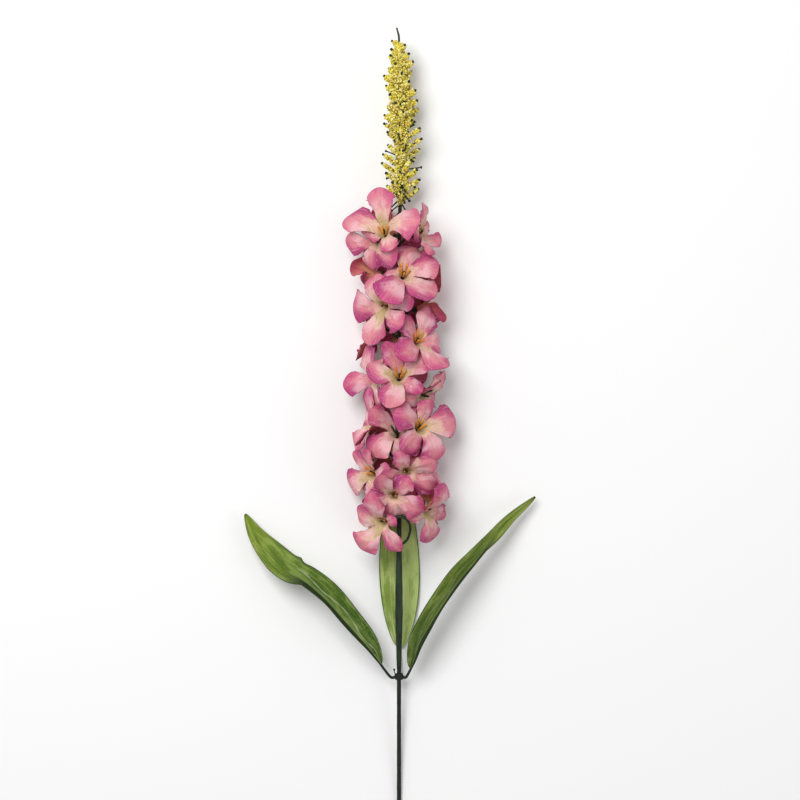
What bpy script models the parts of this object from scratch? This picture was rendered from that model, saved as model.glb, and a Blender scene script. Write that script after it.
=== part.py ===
"""Artificial delphinium stem, lying on a flat surface.

A coated wire stem carries a moulded collar with three fabric leaves and a moulded flower spike.
The spike has a side peg for every fabric corolla and a bud tip of small sprigs in a coat of crumbs.
All sizes are in millimetres until a mesh is made. The stem lies along +Y with its tip at +Y, and
the side that faces up is the one that is seen from the front when the stem is held upright.
"""
import bpy
import numpy as np
from mathutils.bvhtree import BVHTree

MM = 0.001

# Stem: a steel wire in a plastic coat, cut square at the lower end
STEM_LENGTH = 762.0
WIRE_RADIUS = 1.1
COAT_RADIUS = 2.05
BORE_RADIUS = 1.45
CLEARANCE = 0.3
STEM_SIDES = 8
WIRE_SIDES = 6
COAT_ROWS = 9
WIRE_ROWS = 15

# How it lies: the cut end on the surface, the flower head level above it on its back petals
REST_HEIGHT = 2.0
HEAD_HEIGHT = 28.0
RISE_END = 275.0
SWAY = 3.2
SWAY_PLACE = 645.0
SWAY_REACH = 50.0
HOOK = 2.4
HOOK_START = 752.0
HOOK_LENGTH = 12.0

# Moulded spike: distances from the cut end and radii of its own axis
SPIKE_START = 151.5
SOCKET_DEPTH = 112.0
SOCKET_ROWS = 7
AXIS_SPACE_ROWS = 30
SPIKE_RADII = ((151.5, 2.3), (170.0, 2.6), (180.0, 3.0), (204.0, 3.75), (230.0, 3.5),
               (265.0, 2.7), (300.0, 2.3), (420.0, 2.1), (585.0, 1.8), (660.0, 1.5),
               (740.0, 1.1), (757.0, 1.0), (762.0, 0.7))
SPIKE_EXTRA_PLACES = (340.0, 380.0, 470.0, 530.0, 610.0, 635.0, 685.0, 712.0)

# Pegs: one for each floret, ending in a calyx, a pin through the corolla and its stamens
PEG_RADIUS = 1.25
PEG_SIDES = 5
PEG_ROWS = 3
PEG_ROOT_BELOW = 9.0
LONG_PEG_ROOT_BELOW = 26.0
PEG_FIRST_PULL = 5.0
PEG_TIPWARD_PULL = 3.0
PEG_LAST_PULL = 7.5
PEG_END_BEHIND = 2.6
CALYX_RADIUS = 3.3
CALYX_BEHIND = 0.75
PIN_START = -0.6
PIN_RADIUS = 0.8
PIN_LENGTH = 2.8
STAMEN_LENGTH = 9.0
STAMEN_SPREAD = np.radians(17.0)
STAMEN_START = 2.4
STAMEN_ASIDE = 0.42
STAMEN_PROFILE = ((0.0, 0.28), (0.88, 0.7), (1.0, 0.3))
STAMENS_IN_FRONT = 5
STAMENS_AT_SIDE = 3
FRONT_TURN = 75
SIDE_TURN = 120

# Corolla: five petals cut from one piece of cloth, drawn into a funnel round the pin
CLOTH_HALF = 0.33
HOLE_RADIUS = 1.6
PETALS = 5
SECTOR = np.radians(36.0)
PETAL_LENGTH = 43.5
PETAL_HALF_WIDTH = 16.2
PETAL_BULGE = 4.0
NOTCH = 0.3
FUNNEL_ANGLE = 26.0
FLARE_START = 1.0
FLARE_END = 29.0
CURL_START = 0.5
FREE_END = 0.6
FOLD_GAP = 0.35
FOLD_SHARPNESS = 8.0

# How wide a petal is along its length: a sine that ends at this share of its half turn, with powers
# that move its widest place outwards and make it fuller, and a power that keeps the cup to the edges
WIDTH_TURN = 0.74
WIDTH_LATE = 1.25
WIDTH_FULL = 0.75
CUP_POWER = 1.7

# Rows across a petal's free part: where the middle and the ends are along it, and how far they reach
PETAL_ROWS = ((0.52, 0.52, 1.0), (0.76, 0.78, 1.0), (1.0, 0.93, 0.74))
LINE_STEPS = 65
FLOOR = 0.36
FLOOR_SOFTNESS = 1.6

# Drawn for every petal: how far it swings and twists, its cup, which is under 0 where the edges
# bend back, the curl of its end, and its width
PETAL_SEED = 7
PETAL_DRAWS = {"swing": (-3.0, 3.0), "twist": (-9.0, 9.0), "cup": (-0.36, -0.08),
               "curl": (12.0, 52.0), "width": (0.96, 1.06)}
FLARE_DRAW = (-4.0, 4.0)

# How a petal that is in the way may move, and what each kind of move costs
FLARE_MOVES = (0, -9, 9, -18, 18, -28, 28, -40, 40, -50, -60)
SWING_MOVES = (0, -8, 8, -16, 16, -26, 26)
TWIST_MOVES = (0, -15, 15, -30, 30)
SIZE_MOVES = (1.0, 0.92, 0.82, 0.7, 0.58, 0.46)
FLARE_COST = 11.0
SWING_COST = 8.0
TWIST_COST = 16.0
SIZE_COST = 0.055
LEAST_FLARE = 24.0
LOWEST = -5.0

# Space kept free for each funnel, and in front of each mouth: distances in front of the hole, radii
FUNNEL_SPACE = ((-1.4, 4.2), (5.0, 6.0), (10.0, 9.0))
MOUTH_SPACE = ((10.1, 9.0), (20.0, 9.0))
SPACE_SIDES = 10

# Bud tip: sprigs on a screw line, with the coat of crumbs between its turns
BUD_START = 594.0
BUD_END = 748.0
BUD_PITCH = 9.6
BUD_SLOPE = np.radians(33.0)
SPRIG_STEP = np.radians(111.0)
SPRIG_RADIUS = 0.6
SPRIG_TIP_RADIUS = 1.15
SPRIG_TIP_BLUNT = 0.35
SPRIG_ROOT = 0.2
SPRIG_NECK = 3.4
SPRIG_WAIST = 1.3
SPRIG_SIDES = 3
SPRIG_SEED = 11
SPRIG_STAND_OUT = (1.6, 4.2)
LOW_SPRIGS = 8
CRUMB_SEED = 5
CRUMBS_A_TURN = 8
CRUMB_REACH = (0.74, 1.14)
CRUMB_END_ROWS = 6.0
CRUMB_END_SHARE = 0.25
CRUMB_GAP = 0.35
CRUMB_WAVE = (0.55, 1.0)
CRUMB_DENT = (0.88, 1.0)
CRUMB_SECTION = ((0.0, -0.6), (0.7, -1.0), (1.0, -0.3), (0.9, 0.8), (0.4, 1.0), (0.0, 0.6))
BUD_RADII = ((585.0, 15.5), (607.0, 16.8), (649.0, 16.2), (685.0, 13.2), (720.0, 11.3),
             (733.0, 8.0), (741.0, 5.0), (750.0, 3.4))

# Leaves: a collar on the stem with three arms, each running on as the spine under its leaf
COLLAR_PLACE = 144.5
COLLAR_HALF = 3.0
COLLAR_RADIUS = 3.9
COLLAR_SIDES = 10
COLLAR_ROWS = ((-1.0, 0.85), (-0.6, 1.0), (0.6, 1.0), (1.0, 0.85))
COLLAR_BORE_GAP = 0.1
COLLAR_NUB = ((-3.35, 145.2, 16.2), (-4.3, 149.0, 17.2), (-4.8, 153.2, 17.8))
COLLAR_NUB_RADII = (0.7, 0.95, 0.7)
LEAF_HALF_WIDTH = 19.4
LEAF_HALF_THICKNESS = 0.33
LEAF_ROWS = 12
LEAF_COLUMNS = 5
LEAF_TIP_SHARE = 0.06
LEAF_LATE = 0.82
LEAF_FULL = 0.8
LEAF_FOLD_FOOT = 0.3
LEAF_FOLD_RISE = 2.0
NEARBY = 0.01
SPINE_END = 0.86
SPINE_ROWS = 14
SPINE_SIDES = 4
SPINE_PROFILE = ((0.0, 1.5), (0.12, 1.35), (0.35, 0.95), (1.0, 0.5))

SHARP_ANGLE = np.radians(40.0)


def smooth(value):
    """Rise from 0 to 1 with level ends."""
    value = np.clip(value, 0.0, 1.0)
    return value * value * (3.0 - 2.0 * value)


def unit(vector):
    """The vector at length 1, along the last axis."""
    return vector / np.linalg.norm(vector, axis=-1, keepdims=True)


def table(pairs, places):
    """Read a table of (place, value) pairs at the places."""
    return np.interp(places, [pair[0] for pair in pairs], [pair[1] for pair in pairs])


def axis_point(place):
    """Middle of the stem at a distance from the cut end, as it lies on the surface."""
    place = np.asarray(place, float)
    across = SWAY * np.exp(-((place - SWAY_PLACE) / SWAY_REACH) ** 2)
    across = across - HOOK * smooth((place - HOOK_START) / HOOK_LENGTH)
    height = REST_HEIGHT + (HEAD_HEIGHT - REST_HEIGHT) * smooth(place / RISE_END)
    return np.stack([across, place, height], axis=-1)


def curve(points, steps):
    """A smooth line through the points, a Catmull-Rom spline, read at steps from 0 to 1."""
    points = np.asarray(points, float)
    padded = np.vstack([2 * points[0] - points[1], points, 2 * points[-1] - points[-2]])
    position = np.asarray(steps, float) * (len(points) - 1)
    index = np.clip(position.astype(int), 0, len(points) - 2)
    t = (position - index)[:, None]
    a, b, c, d = (padded[index + k] for k in range(4))
    return 0.5 * (2 * b + (c - a) * t + (2 * a - 5 * b + 4 * c - d) * t ** 2
                  + (3 * b - a - 3 * c + d) * t ** 3)


def rings(path, radii, sides):
    """Rings of points across a path, carried along it without twisting."""
    tangents = unit(np.gradient(path, axis=0))
    start = np.array([1.0, 0.0, 0.0]) if abs(tangents[0][0]) < 0.8 else np.array([0.0, 0.0, 1.0])
    angles = (np.arange(sides) + 0.5) * 2.0 * np.pi / sides
    side = start
    result = []
    for point, tangent, radius in zip(path, tangents, radii):
        side = unit(side - tangent * (side @ tangent))
        up = np.cross(tangent, side)
        circle = np.cos(angles)[:, None] * side + np.sin(angles)[:, None] * up
        result.append(point + radius * circle)
    return np.array(result)


def ring_faces(count, sides, offset=0):
    """Faces that join count rings, facing away from the path."""
    faces = []
    for row in range(count - 1):
        for j in range(sides):
            k = (j + 1) % sides
            near = offset + row * sides
            far = near + sides
            faces.append((near + j, near + k, far + k, far + j))
    return faces


def bar(path, radii, sides):
    """Points and faces of a closed round bar along a path."""
    points = rings(path, radii, sides)
    count = len(points)
    faces = ring_faces(count, sides)
    faces.append(tuple(reversed(range(sides))))
    faces.append(tuple(range((count - 1) * sides, count * sides)))
    return points.reshape(-1, 3), faces


def tube(outer, inner, blind):
    """Points and faces of a tube from its outer and inner rings, open or blind at the far end."""
    sides = outer.shape[1]
    shift = len(outer) * sides
    faces = ring_faces(len(outer), sides)
    faces += [tuple(reversed(face)) for face in ring_faces(len(inner), sides, shift)]
    outer_end = shift - sides
    inner_end = shift + (len(inner) - 1) * sides
    for j in range(sides):
        k = (j + 1) % sides
        faces.append((k, j, shift + j, shift + k))
        if not blind:
            faces.append((outer_end + j, outer_end + k, inner_end + k, inner_end + j))
    if blind:
        faces.append(tuple(range(outer_end, outer_end + sides)))
        faces.append(tuple(reversed(range(inner_end, inner_end + sides))))
    return np.vstack([outer.reshape(-1, 3), inner.reshape(-1, 3)]), faces


def corner_normals(points, triangles):
    """Normal at each point, the mean of the triangles that meet there."""
    a, b, c = (points[..., triangles[:, k], :] for k in range(3))
    flat = np.cross(b - a, c - a)
    normals = np.zeros_like(points)
    for k in range(3):
        np.add.at(normals, (..., triangles[:, k], slice(None)), flat)
    return unit(normals)


def sheet_faces(triangles, count):
    """Faces of a closed sheet: the triangles, the same ones count points on, and the cut edge."""
    faces = [tuple(triangle) for triangle in triangles]
    faces += [tuple(index + count for index in reversed(triangle)) for triangle in triangles]
    directed = {(t[k], t[(k + 1) % 3]) for t in triangles.tolist() for k in range(3)}
    for a, b in sorted(directed):
        if (b, a) not in directed:
            faces.append((b, a, a + count))
            faces.append((b, a + count, b + count))
    return faces


def thicken(points, triangles, half):
    """Points and faces of a sheet round a middle surface, half its thickness to each side."""
    normals = corner_normals(points, triangles)
    both = np.concatenate([points + half * normals, points - half * normals], axis=-2)
    return both, sheet_faces(triangles, len(points))


def grid_triangles(rows, columns):
    """Triangles of a grid of points that runs row by row."""
    triangles = []
    for i in range(rows - 1):
        for j in range(columns - 1):
            a = i * columns + j
            b = a + columns
            triangles.append((a, a + 1, b + 1))
            triangles.append((a, b + 1, b))
    return np.array(triangles)


def material(name, colour, roughness, metallic=0.0):
    """A Principled material of one colour."""
    result = bpy.data.materials.new(name)
    result.use_nodes = True
    shader = result.node_tree.nodes["Principled BSDF"]
    shader.inputs["Base Color"].default_value = (*colour, 1.0)
    shader.inputs["Roughness"].default_value = roughness
    shader.inputs["Metallic"].default_value = metallic
    return result


def add_object(name, points, faces, finish):
    """Make a named object from points in millimetres."""
    mesh = bpy.data.meshes.new(name)
    mesh.from_pydata((np.asarray(points) * MM).tolist(), [], [tuple(face) for face in faces])
    mesh.materials.append(finish)
    result = bpy.data.objects.new(name, mesh)
    bpy.context.scene.collection.objects.link(result)
    return result


def fuse(base, pieces):
    """Unite the pieces with the base by one Boolean on a collection, then drop the pieces."""
    group = bpy.data.collections.new(base.name + "_pieces")
    bpy.context.scene.collection.children.link(group)
    for piece in pieces:
        bpy.context.scene.collection.objects.unlink(piece)
        group.objects.link(piece)
    union = base.modifiers.new("union", "BOOLEAN")
    union.operation = "UNION"
    union.operand_type = "COLLECTION"
    union.collection = group
    union.solver = "MANIFOLD"
    with bpy.context.temp_override(object=base, active_object=base):
        bpy.ops.object.modifier_apply(modifier=union.name)
    for piece in pieces:
        bpy.data.objects.remove(piece)
    bpy.data.collections.remove(group)


# Florets, from the tip down. place: distance of the corolla's hole from the cut end. side: its angle
# round the stem, 0 towards the viewer and positive to the right. stand: its distance from the axis.
# turn and lift: where the floret faces, round the stem and towards the tip. roll: angle of its
# first petal, counterclockwise from the right. flares: how far each petal opens, 90 is flat.
FLORETS = (
    dict(place=561, side=-35, stand=21, turn=-30, lift=42, roll=164, size=1.15,
         flares=(74, 112, 112, 84, 50),
         petals={0: dict(width=0.9), 1: dict(size=0.55, curl=0.0), 2: dict(size=0.6, curl=0.0),
                 3: dict(swing=-16.0, width=1.12), 4: dict(swing=6.0)}),
    dict(place=559, side=-64, stand=22, turn=-36, lift=-16, roll=322, size=0.84, flares=(84,) * 5,
         petals={0: dict(width=1.15), 1: dict(size=0.5), 2: dict(size=0.5)}),
    dict(place=523, side=10, stand=18, turn=12, lift=25, roll=229, size=1.05, flares=(88,) * 5,
         petals={0: dict(width=1.12), 1: dict(swing=14.0, width=1.1), 2: dict(size=0.95),
                 3: dict(swing=-16.0), 4: dict(swing=-14.0, width=0.8, size=0.8, flare=106.0)}),
    dict(place=461, side=48, stand=18, turn=40, lift=18, roll=208, size=1.0,
         flares=(84, 88, 92, 68, 70),
         petals={0: dict(width=1.1), 1: dict(swing=16.0), 2: dict(curl=55.0)}),
    dict(place=427, side=0, stand=18, turn=5, lift=22, roll=250, size=0.97, flares=(84, 80, 82, 70, 84),
         petals={0: dict(width=0.88), 1: dict(size=0.7), 2: dict(width=1.1), 4: dict(swing=-18.0)}),
    dict(place=498, side=-34, stand=18, turn=-38, lift=-18, roll=175, size=1.0, flares=(86,) * 5,
         petals={0: dict(width=1.1), 1: dict(width=1.1), 3: dict(swing=-16.0)}),
    dict(place=380, side=50, stand=19, turn=40, lift=12, roll=8, size=1.0,
         flares=(86, 70, 86, 90, 95),
         petals={0: dict(size=1.08, curl=20.0), 1: dict(size=0.8), 2: dict(size=1.05, swing=10.0)}),
    dict(place=372, side=-4, stand=18, turn=-4, lift=38, roll=220, size=0.95,
         flares=(112, 112, 105, 60, 60), petals={2: dict(swing=-26.0)}),
    dict(place=342, side=18, stand=18, turn=15, lift=-22, roll=262, size=0.92, flares=(84,) * 5),
    dict(place=319, side=-12, stand=20, turn=-8, lift=-18, roll=265, size=0.85, flares=(82,) * 5),
    dict(place=295, side=-31, stand=21, turn=-42, lift=-24, roll=300, size=0.98,
         flares=(80, 76, 76, 80, 82), peg=((8.0, 276.0, 35.0), (10.5, 288.0, 42.0), (4.5, 297.0, 47.0)),
         petals={0: dict(size=0.86), 1: dict(size=0.5), 4: dict(swing=-8.0, width=1.08)}),
    dict(place=306, side=62, stand=25, turn=50, lift=-22, roll=283, size=0.86, flares=(84,) * 5,
         petals={0: dict(swing=6.0, width=1.1), 1: dict(swing=-6.0), 4: dict(size=0.6)}),
    dict(place=428, side=-55, stand=18, turn=-58, lift=5, roll=125, size=0.92, flares=(82,) * 5),
    dict(place=565, side=60, stand=16, turn=64, lift=5, roll=100, size=0.82, flares=(70,) * 5),
    dict(place=415, side=66, stand=18, turn=62, lift=-20, roll=270, size=0.85, flares=(80,) * 5),
    dict(place=385, side=-65, stand=18, turn=-68, lift=10, roll=90, size=0.92, flares=(80,) * 5),
    dict(place=338, side=-72, stand=21, turn=-48, lift=0, roll=345, size=0.9, flares=(80,) * 5),
    dict(place=346, side=82, stand=18, turn=72, lift=5, roll=30, size=0.98, flares=(84,) * 5),
    dict(place=546, side=95, stand=17, turn=95, lift=5, roll=90, size=0.95, flares=(84,) * 5),
    dict(place=528, side=-108, stand=17, turn=-108, lift=-8, roll=120, size=0.9, flares=(82,) * 5),
    dict(place=360, side=-98, stand=18, turn=-95, lift=5, roll=60, size=0.88, flares=(75,) * 5),
    dict(place=310, side=-95, stand=18, turn=-88, lift=-10, roll=30, size=0.85, flares=(80,) * 5),
    dict(place=318, side=102, stand=18, turn=100, lift=0, roll=60, size=0.85, flares=(80,) * 5),
    dict(place=475, side=-108, stand=17, turn=-105, lift=0, roll=60, size=0.9, flares=(80,) * 5),
    dict(place=494, side=105, stand=17, turn=105, lift=5, roll=30, size=0.88, flares=(80,) * 5),
    dict(place=564, side=-165, stand=16, turn=-165, lift=15, roll=54, size=0.85, flares=(88,) * 5),
    dict(place=520, side=170, stand=16, turn=170, lift=0, roll=90, size=0.85, flares=(88,) * 5),
    dict(place=474, side=180, stand=16, turn=180, lift=0, roll=54, size=0.85, flares=(88,) * 5),
    dict(place=430, side=178, stand=16, turn=178, lift=0, roll=90, size=0.85, flares=(88,) * 5),
    dict(place=386, side=-175, stand=16, turn=-175, lift=0, roll=54, size=0.85, flares=(88,) * 5),
    dict(place=343, side=178, stand=16, turn=178, lift=-5, roll=90, size=0.82, flares=(88,) * 5),
)


def floret_frame(floret):
    """Place of the corolla's hole, and its directions: to the right, up and outwards."""
    side = np.radians(floret["side"])
    turn = np.radians(floret["turn"])
    lift = np.radians(floret["lift"])
    hole = axis_point(floret["place"])
    hole = hole + floret["stand"] * np.array([np.sin(side), 0.0, np.cos(side)])
    facing = np.array([np.cos(lift) * np.sin(turn), np.sin(lift), np.cos(lift) * np.cos(turn)])
    up = unit(np.array([0.0, 1.0, 0.0]) - facing[1] * facing)
    return hole, np.cross(up, facing), up, facing


def petal_points(frame, petal, along, across):
    """Middle surface of a petal, from the hole (along 0) to its tip (1), across from -1 to 1.

    The middle line leaves the hole at the funnel's angle and opens to the petal's flare. Up to
    the notch the cloth goes round the funnel. Past it each petal is free: it widens to a round
    end, bends back by its edges, twists about its middle line and swings sideways.
    """
    hole, right, up, facing = frame
    size = petal["size"]
    length = PETAL_LENGTH * size
    free = smooth((along - NOTCH) / (FREE_END - NOTCH))
    run = length * along - free * PETAL_BULGE * size * across ** 2 * along ** 2
    steps = np.linspace(0.0, length, LINE_STEPS)
    opening = smooth((steps - FLARE_START) / (FLARE_END * size - FLARE_START))
    curl = petal["curl"] * smooth((steps / length - CURL_START) / (1.0 - CURL_START))
    angle = np.radians(FUNNEL_ANGLE + (petal["flare"] - FUNNEL_ANGLE) * opening + curl)
    middle = 0.5 * (angle[1:] + angle[:-1])
    radius_line = HOLE_RADIUS + np.concatenate([[0.0], np.cumsum(np.sin(middle)) * steps[1]])
    height_line = np.concatenate([[0.0], np.cumsum(np.cos(middle)) * steps[1]])
    radius = np.interp(run, steps, radius_line)
    height = np.interp(run, steps, height_line)
    slope = np.interp(run, steps, angle)[..., None]

    swell = np.sin(np.pi * WIDTH_TURN * np.clip(along, 0.0, 1.0) ** WIDTH_LATE) ** WIDTH_FULL
    wide = PETAL_HALF_WIDTH * size * petal["width"] * swell
    sector = np.maximum(radius * np.tan(SECTOR) - FOLD_GAP, FOLD_GAP)
    wide = wide * sector / (wide ** FOLD_SHARPNESS + sector ** FOLD_SHARPNESS) ** (1.0 / FOLD_SHARPNESS)
    aside = (1.0 - free) * radius * np.sin(SECTOR * across) + free * wide * across
    inward = (1.0 - free) * radius * (1.0 - np.cos(SECTOR * across))
    cup = free * petal["cup"] * wide * np.abs(across) ** CUP_POWER

    late = smooth((along - NOTCH) / (1.0 - NOTCH))
    azimuth = np.radians(petal["azimuth"] + petal["swing"] * late)[..., None]
    twist = np.radians(petal["twist"] * late)
    outward = np.cos(azimuth) * right + np.sin(azimuth) * up
    around = np.cos(azimuth) * up - np.sin(azimuth) * right
    inner = np.sin(slope) * facing - np.cos(slope) * outward
    lateral = aside * np.cos(twist) - cup * np.sin(twist)
    lifted = aside * np.sin(twist) + cup * np.cos(twist)
    points = hole + height[..., None] * facing + (radius - inward)[..., None] * outward
    return points + lateral[..., None] * around + lifted[..., None] * inner


def settle(points):
    """The points, with what would reach below the surface bent so that it lies along it."""
    above = (points[..., 2] - FLOOR) / FLOOR_SOFTNESS
    height = FLOOR + FLOOR_SOFTNESS * np.logaddexp(0.0, above)
    return np.concatenate([points[..., :2], height[..., None]], axis=-1)


def corolla_mesh(frame, petals):
    """Middle surface of a corolla: rings round the funnel to the notch, then five free petals."""
    points = []
    triangles = []
    half_angles = PETALS * 2
    for along in (0.0, NOTCH):
        for petal in petals:
            across = np.array([-1.0, 0.0])
            points.extend(settle(petal_points(frame, petal, np.full(2, along), across)))
    for j in range(half_angles):
        k = (j + 1) % half_angles
        triangles.append((j, half_angles + k, k))
        triangles.append((j, half_angles + j, half_angles + k))
    for number, petal in enumerate(petals):
        near = [half_angles + (2 * number + k) % half_angles for k in range(3)]
        for middle, end, reach in PETAL_ROWS:
            start = len(points)
            along = np.array([end, middle, end])
            across = np.array([-reach, 0.0, reach])
            points.extend(settle(petal_points(frame, petal, along, across)))
            far = [start, start + 1, start + 2]
            triangles.append((near[0], far[0], far[1]))
            triangles.append((near[0], far[1], near[1]))
            triangles.append((near[1], far[1], near[2]))
            triangles.append((near[2], far[1], far[2]))
            near = far
    return np.array(points), np.array(triangles)


def ways_to_move():
    """Ways to move a petal that is in the way, the least change first.

    The swings and twists, and then the moves: flare, size, and the number of swing and twist.
    """
    sideways = [(swing, twist) for swing in SWING_MOVES for twist in TWIST_MOVES]
    moves = []
    for flare in FLARE_MOVES:
        for size in SIZE_MOVES:
            for number, (swing, twist) in enumerate(sideways):
                cost = (flare / FLARE_COST) ** 2 + (swing / SWING_COST) ** 2
                cost += (twist / TWIST_COST) ** 2 + ((1.0 - size) / SIZE_COST) ** 2
                moves.append((cost, flare, size, number))
    return np.array(sideways, float), sorted(moves)


# Shells that stand for petals while a free place is looked for, half their thickness, and their grid
# with rows like those of the petals
SHELL_HALF = 0.75
SHELL_ROWS = ((0.3, 0.3, 1.0), (0.45, 0.45, 1.0), (0.6, 0.6, 1.0), (0.75, 0.75, 1.0),
              (0.88, 0.84, 0.97), (1.0, 0.93, 0.74))
SHELL_COLUMNS = np.array([-1.0, -0.5, 0.0, 0.5, 1.0])
SHELL_ALONG = np.array([middle + (end - middle) * SHELL_COLUMNS ** 2 for middle, end, _ in SHELL_ROWS])
SHELL_ACROSS = np.array([reach * SHELL_COLUMNS for _, _, reach in SHELL_ROWS])
SHELL_TRIANGLES = grid_triangles(*SHELL_ALONG.shape)
SHELL_FACES = sheet_faces(SHELL_TRIANGLES, SHELL_ALONG.size)
OUTER_ROWS = 2
MIDDLE_COLUMN = 2


def petal_shells(frame, petal):
    """Thick shells round the free part of a petal for many swings and twists, and their lowest."""
    formed = petal_points(frame, petal, SHELL_ALONG, SHELL_ACROSS)
    lowest = formed[:, OUTER_ROWS:, MIDDLE_COLUMN, 2].min(axis=1)
    points = settle(formed).reshape(len(formed), -1, 3)
    return thicken(points, SHELL_TRIANGLES, SHELL_HALF)[0], lowest


def peg_path(floret, frame):
    """Line of a peg from inside the spike's axis to the back of the calyx."""
    hole, _, _, facing = frame
    side = np.radians(floret["side"])
    radial = np.array([np.sin(side), 0.0, np.cos(side)])
    d = hole - PEG_END_BEHIND * facing
    if "peg" in floret:
        root = axis_point(floret["place"] - LONG_PEG_ROOT_BELOW)
        return curve([root, *floret["peg"], d], np.linspace(0.0, 1.0, PEG_ROWS ** 2))
    root = axis_point(floret["place"] - PEG_ROOT_BELOW)
    b = root + PEG_FIRST_PULL * radial + np.array([0.0, PEG_TIPWARD_PULL, 0.0])
    c = hole - PEG_LAST_PULL * facing
    t = np.linspace(0.0, 1.0, PEG_ROWS)[:, None]
    return (1 - t) ** 3 * root + 3 * (1 - t) ** 2 * t * b + 3 * (1 - t) * t ** 2 * c + t ** 3 * d


def peg_shapes(floret, frame):
    """The peg with its calyx and pin, and its stamens, as lists of points and faces."""
    hole, right, up, facing = frame
    line = peg_path(floret, frame)
    ends = [hole + offset * facing for offset in (-CALYX_BEHIND, PIN_START, PIN_LENGTH)]
    path = np.vstack([line, ends])
    radii = [PEG_RADIUS] * len(line) + [CALYX_RADIUS, PIN_RADIUS, PIN_RADIUS]
    shapes = [bar(path, radii, PEG_SIDES)]
    turned = abs(floret["turn"])
    count = STAMENS_IN_FRONT if turned < FRONT_TURN else STAMENS_AT_SIDE if turned < SIDE_TURN else 0
    for k in range(count):
        turn = np.radians(floret["roll"]) + SECTOR + 2.0 * np.pi * k / count
        outward = np.cos(turn) * right + np.sin(turn) * up
        direction = np.cos(STAMEN_SPREAD) * facing + np.sin(STAMEN_SPREAD) * outward
        start = hole + STAMEN_START * facing + STAMEN_ASIDE * outward
        reach = np.array([share for share, _ in STAMEN_PROFILE])[:, None] * STAMEN_LENGTH
        shapes.append(bar(start + reach * direction, [radius for _, radius in STAMEN_PROFILE], 3))
    return shapes


def body_tree(shapes):
    """A search tree of all faces of some shapes."""
    points = []
    faces = []
    for shape_points, shape_faces in shapes:
        shift = len(points)
        points.extend(shape_points.tolist())
        faces.extend([tuple(index + shift for index in face) for face in shape_faces])
    return BVHTree.FromPolygons(points, faces)


def drawn_petal(floret, number, draw):
    """Numbers of one petal of a floret, with what is drawn for it."""
    petal = {name: draw.uniform(*limits) for name, limits in PETAL_DRAWS.items()}
    petal["azimuth"] = floret["roll"] + 360.0 / PETALS * number
    petal["flare"] = floret["flares"][number] + draw.uniform(*FLARE_DRAW)
    petal["size"] = floret["size"]
    petal.update(floret.get("petals", {}).get(number, {}))
    return petal


def clear_petal(frame, petal, still, placed, sideways, moves):
    """The petal, moved as little as clears it of what stands still and of the placed shells."""
    swings, twists = (sideways[:, k, None, None] for k in range(2))
    tried = {}
    for _, flare, size, number in moves:
        if petal["flare"] + flare < LEAST_FLARE:
            continue
        trial = dict(petal, flare=petal["flare"] + flare, size=petal["size"] * size)
        if (flare, size) not in tried:
            turned = dict(trial, swing=petal["swing"] + swings, twist=petal["twist"] + twists)
            tried[flare, size] = petal_shells(frame, turned)
        shells, lowest = tried[flare, size]
        if lowest[number] < LOWEST:
            continue
        shell = shells[number]
        tree = BVHTree.FromPolygons(shell.tolist(), SHELL_FACES)
        low = shell.min(axis=0)
        high = shell.max(axis=0)
        near = [other for bottom, top, other in placed if (bottom < high).all() and (low < top).all()]
        if tree.overlap(still) or any(tree.overlap(other) for other in near):
            continue
        placed.append((low, high, tree))
        return dict(trial, swing=petal["swing"] + sideways[number, 0],
                    twist=petal["twist"] + sideways[number, 1])
    raise ValueError("no free place for a petal")


def space(frame, profile):
    """A round space in front of a floret's hole, from distances and radii."""
    hole, _, _, facing = frame
    offsets = np.array([offset for offset, _ in profile])[:, None]
    return bar(hole + offsets * facing, [radius for _, radius in profile], SPACE_SIDES)


def arrange(florets, fixed):
    """Shape every petal of every floret so that it clears what is placed before it."""
    draw = np.random.default_rng(PETAL_SEED)
    frames = [floret_frame(floret) for floret in florets]
    pegs = [peg_shapes(floret, frame) for floret, frame in zip(florets, frames)]
    funnels = [space(frame, FUNNEL_SPACE) for frame in frames]
    mouths = [space(frame, MOUTH_SPACE) for frame in frames]
    sideways, moves = ways_to_move()
    placed = []
    result = []
    for number, (floret, frame) in enumerate(zip(florets, frames)):
        others = list(fixed) + mouths[number + 1:]
        for k, (peg, funnel) in enumerate(zip(pegs, funnels)):
            if k != number:
                others += [*peg, funnel]
        still = body_tree(others)
        petals = []
        for k in range(PETALS):
            petal = drawn_petal(floret, k, draw)
            petals.append(clear_petal(frame, petal, still, placed, sideways, moves))
        result.append((frame, petals))
    return result, pegs


def build_stem(green, steel):
    """The wire core and its plastic coat."""
    places = np.linspace(0.0, SPIKE_START - CLEARANCE, COAT_ROWS)
    path = axis_point(places)
    outer = rings(path, np.full(len(path), COAT_RADIUS), STEM_SIDES)
    inner = rings(path, np.full(len(path), BORE_RADIUS), STEM_SIDES)
    add_object("stem_coat", *tube(outer, inner, blind=False), green)
    places = np.linspace(0.0, SPIKE_START + SOCKET_DEPTH - 1.0, WIRE_ROWS)
    path = axis_point(places)
    add_object("wire_core", *bar(path, np.full(len(path), WIRE_RADIUS), WIRE_SIDES), steel)


def bud_radius(place):
    """Outer radius of the crumbs round the bud tip."""
    return table(BUD_RADII, place)


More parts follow.
